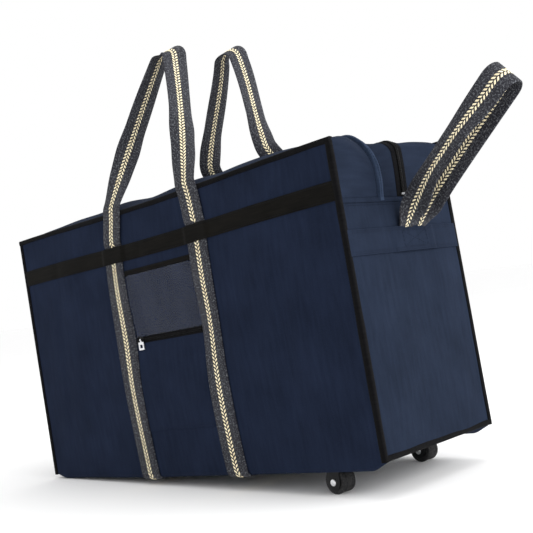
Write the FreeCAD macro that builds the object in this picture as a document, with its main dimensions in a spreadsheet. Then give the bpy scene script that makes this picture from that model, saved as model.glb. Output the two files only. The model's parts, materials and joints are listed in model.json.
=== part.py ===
import FreeCAD, Part
import math
import os
import re
import Sketcher
from FreeCAD import Placement, Rotation, Vector

# A soft wheeled shopping trolley bag, in millimetres.
# The bag is drawn upright and level: X runs along it, Y from its front panel to its back panel, Z up
# from the seams round its ends. It stands on two wheels under the right end and on the edge of its
# bottom at the left end, so every piece then gets one common placement that leans the bag back to
# that stance, with the floor at Z = 0 and the origin under the middle of its outline.

SIZES = [
    ("bag_length", 700, "over the bound corners"),
    ("bag_width", 250, "over the bound corners"),
    ("bag_height", 400, "from the end seams to the top of the top binding"),
    ("cloth", 2, "canvas with its lining"),
    ("binding", 5, "side of the bound seam"),
    ("binding_proud", 1.5, "binding stands out from the panels"),
    ("bottom_sag", 6, "bottom hangs below the end seams"),
    ("sag_run", 22, "length over which the bottom rises to an end seam"),
    ("web_width", 40, "strap webbing"),
    ("web", 2.5, "strap webbing thickness"),
    ("strap_spacing", 188, "between strap centres"),
    ("band_width", 25, "webbing band across the panels"),
    ("band", 1.5, "band thickness"),
    ("band_drop", 54, "top of the bag to the top of the band"),
    ("fit_gap", 0.3, "clear space between soft pieces"),
    ("window_tape_drop", 94, "top of the bag to the window tape"),
    ("tape_height", 8, "tapes above and below the window"),
    ("pocket_zip_drop", 198, "top of the bag to the pocket zip tape"),
    ("pocket_floor", 60, "end seams to the bottom of the pocket"),
    ("pocket_layer", 1, "pocket cloth, film and tapes"),
    ("pocket_coil", 3, "height of the pocket zip coil"),
    ("pocket_coil_proud", 1.4, "coil stands out from its tape"),
    ("seam_drop", 82, "top of the bag to the seam under the gussets"),
    ("end_band_drop", 117, "top of the bag to the end band"),
    ("end_band_height", 33, "folded band that holds the pull loop"),
    ("end_band", 1.6, "end band thickness"),
    ("loop_shift", 12, "pull loop sits towards the back"),
    ("loop_reach", 240, "length of the pull loop from its band"),
    ("loop_half_gap", 17, "half the space across the pull loop"),
    ("loop_bow", 8, "front strand of the pull loop bows out in its middle"),
    ("loop_foot_gap", 0.6, "half the space between the two feet of the pull loop"),
    ("top_set_down", 1, "top cloth below the top of the binding"),
    ("corner_cut", 14, "gusset turns down over the end"),
    ("flap_length", 600, "the part of the top that opens"),
    ("flap_gap", 0.8, "flaps to the fixed ends of the top"),
    ("zip_shift", 11, "main zip sits towards the back"),
    ("zip_coil", 2.8, "width of one row of zip coil"),
    ("zip_split", 0.2, "between the two rows of coil"),
    ("zip_coil_proud", 2, "coil stands out from its tape"),
    ("zip_tape", 9, "width of one zip tape beside its coil"),
    ("zip_layer", 0.8, "zip tape thickness"),
    ("hinge_inset", 1, "flap hinge line inside the flap's edge"),
    ("ridge_shift", 38, "ridge in front of the middle of the top"),
    ("ridge_width", 11, "folded ridge"),
    ("ridge_height", 5, "folded ridge above the top cloth"),
    ("handle_rise", 283, "foot of the front handle to its top"),
    ("rear_handle_rise", 297, "foot of the rear handle to its top, which leans less"),
    ("handle_fold", 20, "radius of the turn at the top of a handle"),
    ("handle_twist_height", 106, "height over which a handle turns edge-on, above the top edge"),
    ("handle_clearance", 3, "top binding to where a handle starts to lean"),
    ("front_lean", 90, "front handle leans in over the top"),
    ("rear_lean", 26, "rear handle's top from the rear edge"),
    ("rear_dip", 49, "rear handle's legs dip in over the top"),
    ("wheel_radius", 16, "tyre"),
    ("wheel_width", 25, "hub over its faces"),
    ("tyre_width", 23, "tyre"),
    ("hub_radius", 9.5, "hub under the tyre"),
    ("axle_radius", 2.5, "axle rivet"),
    ("axle_fit", 0.08, "running clearance of the hub on the axle"),
    ("wheel_inset", 100, "end of the bag to the axle"),
    ("bracket_inset", 15, "bag outline to the outer face of a bracket"),
    ("bracket", 1.2, "bracket plate"),
    ("bracket_length", 38, "bracket top plate"),
    ("ear_inset", 6, "bracket ear inside the tread, round its axle"),
    ("axle_head", 4.4, "radius of an axle's rivet head"),
    ("axle_head_height", 1.6, "axle's rivet head"),
    ("side_play", 0.6, "hub to bracket ear"),
    ("top_play", 0.6, "tyre to bracket plate"),
    ("board", 3, "base board"),
    ("board_end_gap", 6, "base board to where the bottom rises"),
    ("board_side_gap", 10, "base board inside the bag's width"),
    ("rivet_radius", 2, "bracket rivets"),
    ("rivet_head", 3.6, "radius of a rivet head"),
    ("rivet_head_height", 1.4, "rivet head"),
    ("slider_length", 12, "main zip slider"),
    ("slider_park", 322, "middle of the bag to the parked slider"),
    ("pull_length", 24, "main pull tab"),
    ("pocket_slider_length", 9, "pocket zip slider"),
    ("pocket_slider_park", 63, "middle of the bag to the parked pocket slider"),
    ("pocket_pull", 12, "pocket pull tab"),
    ("pull_plate_half", 4, "half the width of the main pull tab and of a zip stop"),
    ("pull_sheet", 1.6, "thickness of the main pull tab"),
    ("pull_tag_hole", 1.75, "radius of the hole in the main pull tab"),
    ("pin_radius", 0.9, "pin of a pull tab"),
    ("pin_fit", 0.08, "running clearance of a pull tab on its pin"),
]

doc = FreeCAD.newDocument("trolley_bag")
sheet = doc.addObject("Spreadsheet::Sheet", "Sizes")
for row, (alias, value, note) in enumerate(SIZES, 1):
    sheet.set(f"A{row}", alias)
    sheet.set(f"B{row}", str(value))
    sheet.set(f"C{row}", note)
    sheet.setAlias(f"B{row}", alias)
doc.recompute()
ALIASES = {alias for alias, value, note in SIZES}


def size(text):
    """The value in millimetres of an expression written with the sheet's aliases."""
    return float(sheet.evalExpression(str(text)))


def cell(text):
    """The same expression with each alias pointing at the sheet, for setExpression."""
    return re.sub(r"[a-z_]+", lambda found: "Sizes." + found.group() if found.group() in ALIASES
                  else found.group(), str(text))


# Places that several pieces share, in the level frame.
HALF_LENGTH = "bag_length / 2"
FRONT_FACE = "(0 - bag_width / 2 + binding_proud)"
END_FACE = "(bag_length / 2 - binding_proud)"
BOTTOM_TOP = "(0 - bottom_sag)"
BOTTOM_FACE = "(0 - bottom_sag - cloth)"
BAND_TOP = "(bag_height - band_drop)"
TOP_FACE = "(bag_height - top_set_down)"
FLAP_EDGE = "(bag_width / 2 - binding - 0.5)"
STRAP_IN = "(strap_spacing / 2 - web_width / 2)"
STRAP_OUT = "(strap_spacing / 2 + web_width / 2)"
AXLE_X = "(bag_length / 2 - wheel_inset)"
AXLE_Z = "(0 - bottom_sag - cloth - bracket - top_play - wheel_radius)"
EAR_OUTER = "(bag_width / 2 - bracket_inset)"
BRACKET_WIDTH = "(wheel_width + 2 * side_play + 2 * bracket)"


def rest_rotation():
    """The lean that puts both wheels and the left edge of the bottom on the floor."""
    run = size(f"{AXLE_X} + bag_length / 2 - sag_run")
    fall = size(f"{BOTTOM_FACE} - {AXLE_Z}")
    lean = math.atan2(fall, run) + math.asin(size("wheel_radius") / math.hypot(run, fall))
    return Rotation(Vector(0, 1, 0), -math.degrees(lean))


LEAN = rest_rotation()
nodes = {}


def point(x, y, z):
    return Vector(size(x), size(y), size(z))


def add(obj, label):
    """Names a finished piece as one of the bag's sub-parts."""
    obj.Label = label
    nodes[label] = obj
    return obj


def box(name, length, width, height, x, y, z):
    """A box bound to the sheet, with its lowest corner at x, y, z."""
    obj = doc.addObject("Part::Box", name)
    for prop, text in (("Length", length), ("Width", width), ("Height", height)):
        obj.setExpression(prop, cell(text))
    obj.Placement = Placement(point(x, y, z), Rotation())
    return obj


def span(name, x, y, z):
    """A box between the two values given for each direction."""
    return box(name, f"{x[1]} - ({x[0]})", f"{y[1]} - ({y[0]})", f"{z[1]} - ({z[0]})", x[0], y[0], z[0])


def mirrored(y, side):
    """A span across Y for the front (side -1) from the one written for the back (side 1)."""
    return y if side > 0 else (f"0 - ({y[1]})", f"0 - ({y[0]})")


def rod(name, radius, length, x, y, z, direction):
    """A cylinder bound to the sheet, from x, y, z along a direction."""
    obj = doc.addObject("Part::Cylinder", name)
    obj.setExpression("Radius", cell(radius))
    obj.setExpression("Height", cell(length))
    obj.Placement = Placement(point(x, y, z), Rotation(Vector(0, 0, 1), direction))
    return obj


def fuse(name, pieces):
    obj = doc.addObject("Part::MultiFuse", name)
    obj.Shapes = pieces
    obj.Refine = True
    return obj


def cut(name, base, tools):
    obj = doc.addObject("Part::Cut", name)
    obj.Base = base
    obj.Tool = tools[0] if len(tools) == 1 else fuse(name + "_tools", tools)
    return obj


PLANES = {"XY": "XY_Plane", "XZ": "XZ_Plane", "YZ": "YZ_Plane"}


def prism(name, plane, corners, depth, start):
    """A PartDesign body: an outline on a plane, its corners bound to the sheet, padded from start."""
    body = doc.addObject("PartDesign::Body", name)
    sketch = body.newObject("Sketcher::SketchObject", name + "_outline")
    support = [f for f in body.Origin.OriginFeatures if f.Role == PLANES[plane]][0]
    sketch.AttachmentSupport = [(support, "")]
    sketch.MapMode = "FlatFace"
    # The XZ plane's own normal points along -Y.
    forward = -1 if plane == "XZ" else 1
    sketch.AttachmentOffset = Placement(Vector(0, 0, forward * size(start)), Rotation())
    values = [(size(u), size(v)) for u, v in corners]
    count = len(corners)
    for i in range(count):
        a, b = values[i], values[(i + 1) % count]
        sketch.addGeometry(Part.LineSegment(Vector(a[0], a[1], 0), Vector(b[0], b[1], 0)), False)
    for i in range(count):
        sketch.addConstraint(Sketcher.Constraint("Coincident", i, 2, (i + 1) % count, 1))
    for i, (u, v) in enumerate(corners):
        for kind, text, value in (("DistanceX", u, values[i][0]), ("DistanceY", v, values[i][1])):
            index = sketch.addConstraint(Sketcher.Constraint(kind, -1, 1, i, 1, value))
            sketch.setExpression(f"Constraints[{index}]", cell(text))
    pad = body.newObject("PartDesign::Pad", name + "_pad")
    pad.Profile = sketch
    pad.setExpression("Length", cell(depth))
    pad.Reversed = plane == "XZ"
    body.Tip = pad
    return body


def ribbon(name, sections):
    """A strap as a solid skinned over rectangles, each (centre, half width vector, half thickness vector)."""
    wires = []
    for centre, half_width, half_thick in sections:
        ring = [centre + half_width + half_thick, centre - half_width + half_thick,
                centre - half_width - half_thick, centre + half_width - half_thick]
        wires.append(Part.makePolygon(ring + ring[:1]))
    obj = doc.addObject("Part::Feature", name)
    obj.Shape = Part.makeLoft(wires, True, True)
    return obj


def smooth(t):
    t = min(max(t, 0.0), 1.0)
    return t * t * (3 - 2 * t)


# ---- Canvas box ----

FLAT_HALF = "(bag_length / 2 - sag_run)"


def panel_outline(top, half):
    """Corners of a panel whose lower edge follows the sagging bottom, out to +-half."""
    rise = f"(0 - bottom_sag * (bag_length / 2 - ({half})) / sag_run)"
    return [(f"0 - ({half})", rise), (f"0 - {FLAT_HALF}", BOTTOM_TOP), (FLAT_HALF, BOTTOM_TOP),
            (half, rise), (half, top), (f"0 - ({half})", top)]


for label, start in (("front_panel", FRONT_FACE), ("back_panel", f"0 - {FRONT_FACE} - cloth")):
    outline = panel_outline("bag_height - binding", "bag_length / 2 - binding")
    add(prism(label, "XZ", outline, "cloth", start), label)

RIVET_SPOTS = [(i, j, side) for side in (-1, 1) for i in (-1, 1) for j in (-1, 1)]


def rivet_place(i, j, side):
    """Where one bracket rivet stands: i along the bag, j across it, side -1 at the front."""
    middle = f"{side} * ({EAR_OUTER} - {BRACKET_WIDTH} / 2)"
    x = f"{AXLE_X} + {i} * (bracket_length / 2 - rivet_head - 1)"
    y = f"{middle} + {j} * ({BRACKET_WIDTH} / 2 - rivet_head - 2)"
    return x, y


# Drills for the rivets start below everything they pass through and end above it.
DRILL_LOW = f"({BOTTOM_FACE} - 10)"
DRILL_LENGTH = "30"


def rivet_holes(name, spots):
    return [rod(f"{name}_hole{n}", "rivet_radius", DRILL_LENGTH, *rivet_place(*spot), DRILL_LOW, Vector(0, 0, 1))
            for n, spot in enumerate(spots)]


bottom = prism("bottom_cloth", "XZ", [
    (f"0 - {HALF_LENGTH}", "0"), (f"0 - {HALF_LENGTH}", "0 - cloth"), (f"0 - {FLAT_HALF}", BOTTOM_FACE),
    (FLAT_HALF, BOTTOM_FACE), (HALF_LENGTH, "0 - cloth"), (HALF_LENGTH, "0"),
    (FLAT_HALF, BOTTOM_TOP), (f"0 - {FLAT_HALF}", BOTTOM_TOP)],
    "bag_width - 2 * binding_proud", FRONT_FACE)
add(cut("bottom_panel", bottom, rivet_holes("bottom", RIVET_SPOTS)), "bottom_panel")
board_x = (f"0 - {FLAT_HALF} + board_end_gap", f"{FLAT_HALF} - board_end_gap")
board_y = ("0 - bag_width / 2 + board_side_gap", "bag_width / 2 - board_side_gap")
board = span("board_blank", board_x, board_y, (BOTTOM_TOP, f"{BOTTOM_TOP} + board"))
add(cut("base_board", board, rivet_holes("board", RIVET_SPOTS)), "base_board")

SEAM = "(bag_height - seam_drop)"
INNER_Y = ("0 - bag_width / 2 + binding", "bag_width / 2 - binding")
for label, side in (("right_end_panel", 1), ("left_end_panel", -1)):
    x = (f"{END_FACE} - cloth", END_FACE)
    add(span(label, mirrored(x, side), INNER_Y, ("binding", SEAM)), label)

TOP_LOW = f"({TOP_FACE} - cloth)"


def over_the_end(side, skin_in, skin_out, x_start, z_end):
    """Corners of a strip that lies on the top and turns down over an end, between two depths of skin."""
    outer = f"({END_FACE} + ({skin_out}))"
    inner = f"({END_FACE} + ({skin_in}))"
    high = f"({TOP_FACE} + ({skin_out}))"
    low = f"({TOP_FACE} + ({skin_in}))"
    # Cutting the corner at 45 degrees keeps the strip's thickness if the cut moves in by this share.
    ease = math.sqrt(2) - 1
    cut_out = f"(corner_cut + {ease} * ({skin_out}))"
    cut_in = f"(corner_cut + {ease} * ({skin_in}))"
    path = [(x_start, high), (f"{outer} - {cut_out}", high), (outer, f"{high} - {cut_out}"), (outer, z_end),
            (inner, z_end), (inner, f"{low} - {cut_in}"), (f"{inner} - {cut_in}", low), (x_start, low)]
    return [(f"{side} * ({u})", v) for u, v in path]


ZIP_EDGE = "(zip_split / 2 + zip_coil + fit_gap)"
FIXED_START = "flap_length / 2 + flap_gap"
for end, side in (("right", 1), ("left", -1)):
    skin = over_the_end(side, "0 - cloth", "0", FIXED_START, SEAM)
    front_width = f"bag_width / 2 - binding + zip_shift - {ZIP_EDGE}"
    rear_width = f"bag_width / 2 - binding - zip_shift - {ZIP_EDGE}"
    add(prism(f"{end}_gusset_front", "XZ", skin, front_width, INNER_Y[0]), f"{end}_gusset_front")
    add(prism(f"{end}_gusset_rear", "XZ", skin, rear_width, f"zip_shift + {ZIP_EDGE}"), f"{end}_gusset_rear")
    tape_skin = over_the_end(side, "0", "zip_layer", FIXED_START, f"{SEAM} + 4")
    tape = prism(f"{end}_zip_tape", "XZ", tape_skin, f"2 * zip_tape + 2 * {ZIP_EDGE}",
                 f"zip_shift - zip_tape - {ZIP_EDGE}")
    coil_skin = over_the_end(side, "zip_layer", "zip_layer + zip_coil_proud", FIXED_START, f"{SEAM} + 8")
    coil = prism(f"{end}_zip_coil", "XZ", coil_skin, "2 * zip_coil", "zip_shift - zip_coil")
    add(fuse(f"{end}_zip_end", [tape, coil]), f"{end}_zip_end")

STOP_Z = (f"{SEAM} + 4.5", f"{SEAM} + 7.5")
STOP_X = (f"{END_FACE} + zip_layer", f"{END_FACE} + zip_layer + 2.4")
STOP_Y = ("zip_shift - pull_plate_half", "zip_shift + pull_plate_half")
stops = [span(f"stop_{end}", mirrored(STOP_X, side), STOP_Y, STOP_Z)
         for end, side in (("right", 1), ("left", -1))]
add(fuse("zip_stops", stops), "zip_stops")

# ---- Bound seams ----

for name, side in (("front", -1), ("back", 1)):
    y = mirrored(("bag_width / 2 - binding", "bag_width / 2"), side)
    add(span(f"{name}_top_binding", (f"0 - {HALF_LENGTH}", HALF_LENGTH), y,
             ("bag_height - binding", "bag_height")), f"{name}_top_binding")
    for end, way in (("right", 1), ("left", -1)):
        x = mirrored(("bag_length / 2 - binding", HALF_LENGTH), way)
        add(span(f"{name}_{end}_binding", x, y, ("0", "bag_height - binding")), f"{name}_{end}_binding")
for end, way in (("right", 1), ("left", -1)):
    x = mirrored(("bag_length / 2 - binding", HALF_LENGTH), way)
    add(span(f"{end}_bottom_binding", x, INNER_Y, ("0", "binding")), f"{end}_bottom_binding")

# ---- Straps and bands ----

PANEL_FACE = "(bag_width / 2 - binding_proud)"
for name, side in (("front", -1), ("rear", 1)):
    y = mirrored((PANEL_FACE, f"{PANEL_FACE} + web"), side)
    for hand, way in (("left", -1), ("right", 1)):
        x = mirrored((STRAP_IN, STRAP_OUT), way)
        add(span(f"{name}_strap_{hand}", x, y, (BOTTOM_FACE, BAND_TOP)), f"{name}_strap_{hand}")
for hand, way in (("left", -1), ("right", 1)):
    x = mirrored((STRAP_IN, STRAP_OUT), way)
    y = ("0 - bag_width / 2 + binding_proud - web", "bag_width / 2 - binding_proud + web")
    add(span(f"under_strap_{hand}", x, y, (f"{BOTTOM_FACE} - web", BOTTOM_FACE)), f"under_strap_{hand}")


def stepped_strip(spots, half, face, lift, skin):
    """Corners, as (along, out), of a strip that lies on a face and steps out over raised spots."""
    inner = [(f"0 - ({half})", face)]
    outer = [(f"0 - ({half})", f"{face} + {skin}")]
    for low, high in spots:
        inner += [(low, face), (low, f"{face} + {lift}"), (high, f"{face} + {lift}"), (high, face)]
        outer += [(f"{low} - {skin}", f"{face} + {skin}"), (f"{low} - {skin}", f"{face} + {lift} + {skin}"),
                  (f"{high} + {skin}", f"{face} + {lift} + {skin}"), (f"{high} + {skin}", f"{face} + {skin}")]
    inner.append((half, face))
    outer.append((half, f"{face} + {skin}"))
    return inner + outer[::-1]


strap_spots = [(f"0 - {STRAP_OUT} - fit_gap", f"0 - {STRAP_IN} + fit_gap"),
               (f"{STRAP_IN} - fit_gap", f"{STRAP_OUT} + fit_gap")]
for name, side in (("front", -1), ("rear", 1)):
    strip = stepped_strip(strap_spots, "bag_length / 2 - binding", PANEL_FACE, "web", "band")
    strip = [(u, f"{side} * ({v})") for u, v in strip]
    add(prism(f"{name}_band", "XY", strip, "band_width", f"{BAND_TOP} - band_width"), f"{name}_band")

END_BAND_TOP = "(bag_height - end_band_drop)"
END_BAND_LOW = "(bag_height - end_band_drop - end_band_height)"
anchor_y = ("loop_shift - web_width - 1", "loop_shift + web_width + 1")
anchor_z = (f"{END_BAND_LOW} + 3", END_BAND_TOP)
add(span("pull_loop_anchor", (END_FACE, f"{END_FACE} + web"), anchor_y, anchor_z), "pull_loop_anchor")
end_strip = stepped_strip([(f"{anchor_y[0]} - fit_gap", f"{anchor_y[1]} + fit_gap")],
                          "bag_width / 2 - binding", END_FACE, "web", "end_band")
add(prism("right_end_band", "XY", [(v, u) for u, v in end_strip], "end_band_height", END_BAND_LOW),
    "right_end_band")

# ---- Front pocket ----

POCKET_HALF = f"({STRAP_IN} - fit_gap)"
POCKET_Y = (f"{FRONT_FACE} - pocket_layer", FRONT_FACE)
ZIP_TAPE_TOP = "(bag_height - pocket_zip_drop)"
ZIP_TAPE_LOW = f"({ZIP_TAPE_TOP} - tape_height - 2)"
WINDOW_TAPE_TOP = "(bag_height - window_tape_drop)"
pocket_x = (f"0 - {POCKET_HALF}", POCKET_HALF)
add(span("pocket_cloth", pocket_x, POCKET_Y, ("pocket_floor", ZIP_TAPE_LOW)), "pocket_cloth")
WINDOW_TOP = f"({WINDOW_TAPE_TOP} - tape_height)"
add(span("pocket_window", pocket_x, POCKET_Y, (ZIP_TAPE_TOP, WINDOW_TOP)), "pocket_window")
add(span("window_tape", pocket_x, POCKET_Y, (WINDOW_TOP, WINDOW_TAPE_TOP)), "window_tape")
COIL_MIDDLE = f"({ZIP_TAPE_LOW} + tape_height / 2 + 1)"
pocket_tape = span("pocket_tape", pocket_x, POCKET_Y, (ZIP_TAPE_LOW, ZIP_TAPE_TOP))
coil_y = (f"{POCKET_Y[0]} - pocket_coil_proud", POCKET_Y[0])
pocket_row = span("pocket_row", (f"0 - {POCKET_HALF} + 3", f"{POCKET_HALF} - 3"), coil_y,
                  (f"{COIL_MIDDLE} - pocket_coil / 2", f"{COIL_MIDDLE} + pocket_coil / 2"))
add(fuse("pocket_zip", [pocket_tape, pocket_row]), "pocket_zip")

# The pocket slider saddles the coil, and its pull tab swings on a pin between two ears.
SLIDER_BACK = f"({POCKET_Y[0]} - fit_gap)"
SLIDER_FACE = f"({POCKET_Y[0]} - pocket_coil_proud - fit_gap - 1.2)"
half_slider = "pocket_slider_length / 2"
slider_x = (f"0 - pocket_slider_park - {half_slider}", f"0 - pocket_slider_park + {half_slider}")
slider_block = span("pocket_slider_block", slider_x, (SLIDER_FACE, SLIDER_BACK),
                    (f"{COIL_MIDDLE} - 3.6", f"{COIL_MIDDLE} + 3.6"))
slot_half = "(pocket_coil / 2 + fit_gap)"
slider_slot = span("pocket_slider_slot", (f"{slider_x[0]} - 1", f"{slider_x[1]} + 1"),
                   (f"{POCKET_Y[0]} - pocket_coil_proud - fit_gap", f"{SLIDER_BACK} + 1"),
                   (f"{COIL_MIDDLE} - {slot_half}", f"{COIL_MIDDLE} + {slot_half}"))
PIN_Y = f"({SLIDER_FACE} - 1.6)"
EAR = "1.1"
EAR_HALF = "1.5"
TAB_HALF = "1.6"
PARK = "(0 - pocket_slider_park)"
ear_x = (f"{TAB_HALF} + fit_gap", f"{TAB_HALF} + fit_gap + {EAR}")
ear_y = (f"{PIN_Y} - {EAR_HALF}", SLIDER_FACE)
ear_z = (f"{COIL_MIDDLE} - {EAR_HALF}", f"{COIL_MIDDLE} + {EAR_HALF}")
slider_ears = []
for n, side in enumerate((-1, 1)):
    low, high = mirrored(ear_x, side)
    slider_ears.append(span(f"pocket_ear{n}", (f"{PARK} + {low}", f"{PARK} + {high}"), ear_y, ear_z))
slider_pin = rod("pocket_slider_pin", "pin_radius", f"2 * ({ear_x[1]})", f"{PARK} - ({ear_x[1]})", PIN_Y,
                 COIL_MIDDLE, Vector(1, 0, 0))
saddle = cut("pocket_slider_saddle", slider_block, [slider_slot])
add(fuse("pocket_slider", [saddle] + slider_ears + [slider_pin]), "pocket_slider")

tab_y = (f"{PIN_Y} - 0.7", f"{PIN_Y} + 0.7")
tab_x = (f"{PARK} - pocket_pull / 2", f"{PARK} + pocket_pull / 2")
TAB_TOP = f"({COIL_MIDDLE} - 3.4)"
TAB_FRAME = "3"
tab_plate = span("pocket_tab_plate", tab_x, tab_y, (f"{TAB_TOP} - pocket_pull", TAB_TOP))
tab_neck = span("pocket_tab_neck", (f"{PARK} - {TAB_HALF}", f"{PARK} + {TAB_HALF}"), tab_y,
                (f"{TAB_TOP} - 0.6", COIL_MIDDLE))
tab_eye = rod("pocket_tab_eye", "pin_radius + 0.6", f"2 * {TAB_HALF}", f"{PARK} - {TAB_HALF}",
              PIN_Y, COIL_MIDDLE, Vector(1, 0, 0))
tab_bore = rod("pocket_tab_bore", "pin_radius + pin_fit", f"2 * {TAB_HALF} + 2", f"{PARK} - {TAB_HALF} - 1",
               PIN_Y, COIL_MIDDLE, Vector(1, 0, 0))
tab_window = span("pocket_tab_window", (f"{tab_x[0]} + {TAB_FRAME}", f"{tab_x[1]} - {TAB_FRAME}"),
                  (f"{tab_y[0]} - 1", f"{tab_y[1]} + 1"),
                  (f"{TAB_TOP} - pocket_pull + {TAB_FRAME}", f"{TAB_TOP} - {TAB_FRAME} - 1"))
tab_blank = fuse("pocket_tab_blank", [tab_plate, tab_neck, tab_eye])
add(cut("pocket_pull_tab", tab_blank, [tab_bore, tab_window]), "pocket_pull_tab")

# ---- Opening top ----

flap_x = ("0 - flap_length / 2", "flap_length / 2")
tape_x = ("0 - flap_length / 2 + 1", "flap_length / 2 - 1")
FLAP_Z = (TOP_LOW, TOP_FACE)
ZIP_Z = (TOP_FACE, f"{TOP_FACE} + zip_layer")
COIL_Z = (f"{TOP_FACE} + zip_layer", f"{TOP_FACE} + zip_layer + zip_coil_proud")
for name, side in (("front", -1), ("rear", 1)):
    # Written for a zip at the middle, then moved to the zip's line.
    cloth_y = mirrored((ZIP_EDGE, f"{FLAP_EDGE} - ({side} * zip_shift)"), side)
    tape_y = mirrored(("zip_split / 2", f"{ZIP_EDGE} + zip_tape"), side)
    row_y = mirrored(("zip_split / 2", "zip_split / 2 + zip_coil"), side)
    moved = [(f"{low} + zip_shift", f"{high} + zip_shift") for low, high in (cloth_y, tape_y, row_y)]
    add(span(f"top_{name}_flap", flap_x, moved[0], FLAP_Z), f"top_{name}_flap")
    add(span(f"{name}_zip_tape", tape_x, moved[1], ZIP_Z), f"{name}_zip_tape")
    add(span(f"{name}_zip_coil", tape_x, moved[2], COIL_Z), f"{name}_zip_coil")
add(span("top_ridge", tape_x, ("0 - ridge_shift - ridge_width / 2", "0 - ridge_shift + ridge_width / 2"),
         (TOP_FACE, f"{TOP_FACE} + ridge_height")), "top_ridge")

# The main slider saddles both rows of coil, and its pull tab lies back along the zip.
SADDLE_LOW = f"({ZIP_Z[1]} + fit_gap)"
SADDLE_TOP = f"({COIL_Z[1]} + fit_gap + 1.4)"
MAIN_PARK = "(0 - slider_park)"
main_x = (f"{MAIN_PARK} - slider_length / 2", f"{MAIN_PARK} + slider_length / 2")
main_block = span("slider_block", main_x, ("zip_shift - 5.2", "zip_shift + 5.2"), (SADDLE_LOW, SADDLE_TOP))
main_slot = span("slider_slot", (f"{main_x[0]} - 1", f"{main_x[1]} + 1"),
                 (f"zip_shift - {ZIP_EDGE}", f"zip_shift + {ZIP_EDGE}"),
                 (f"{SADDLE_LOW} - 1", f"{COIL_Z[1]} + fit_gap"))
MAIN_PIN_Z = f"({SADDLE_TOP} + 1.9)"
MAIN_TAB_HALF = "2"
MAIN_EAR = "1.4"
MAIN_EAR_HALF = "1.7"
main_ear_x = (f"{MAIN_PARK} - {MAIN_EAR_HALF}", f"{MAIN_PARK} + {MAIN_EAR_HALF}")
main_ear_y = (f"{MAIN_TAB_HALF} + fit_gap", f"{MAIN_TAB_HALF} + fit_gap + {MAIN_EAR}")
main_ears = []
for n, side in enumerate((-1, 1)):
    low, high = mirrored(main_ear_y, side)
    main_ears.append(span(f"slider_ear{n}", main_ear_x, (f"zip_shift + {low}", f"zip_shift + {high}"),
                          (SADDLE_TOP, f"{MAIN_PIN_Z} + {MAIN_EAR_HALF}")))
main_pin = rod("slider_pin", "pin_radius", f"2 * ({main_ear_y[1]})", MAIN_PARK,
               f"zip_shift - ({main_ear_y[1]})", MAIN_PIN_Z, Vector(0, 1, 0))
main_saddle = cut("slider_saddle", main_block, [main_slot])
add(fuse("main_slider", [main_saddle] + main_ears + [main_pin]), "main_slider")

main_tab_z = (f"{MAIN_PIN_Z} - pull_sheet / 2", f"{MAIN_PIN_Z} + pull_sheet / 2")
main_neck = span("pull_neck", (MAIN_PARK, f"{MAIN_PARK} + 8"),
                 (f"zip_shift - {MAIN_TAB_HALF}", f"zip_shift + {MAIN_TAB_HALF}"), main_tab_z)
main_plate = span("pull_plate", (f"{MAIN_PARK} + 7", f"{MAIN_PARK} + pull_length"), STOP_Y, main_tab_z)
main_eye = rod("pull_eye", "pin_radius + 0.7", f"2 * {MAIN_TAB_HALF}", MAIN_PARK,
               f"zip_shift - {MAIN_TAB_HALF}", MAIN_PIN_Z, Vector(0, 1, 0))
main_bore = rod("pull_bore", "pin_radius + pin_fit", f"2 * {MAIN_TAB_HALF} + 2", MAIN_PARK,
                f"zip_shift - {MAIN_TAB_HALF} - 1", MAIN_PIN_Z, Vector(0, 1, 0))
main_hole = rod("pull_hole", "pull_tag_hole", "6", f"{MAIN_PARK} + pull_length - 4", "zip_shift",
                f"{MAIN_PIN_Z} - 3", Vector(0, 0, 1))
main_blank = fuse("pull_blank", [main_neck, main_plate, main_eye])
add(cut("main_pull_tab", main_blank, [main_bore, main_hole]), "main_pull_tab")

# ---- Wheels ----

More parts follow.
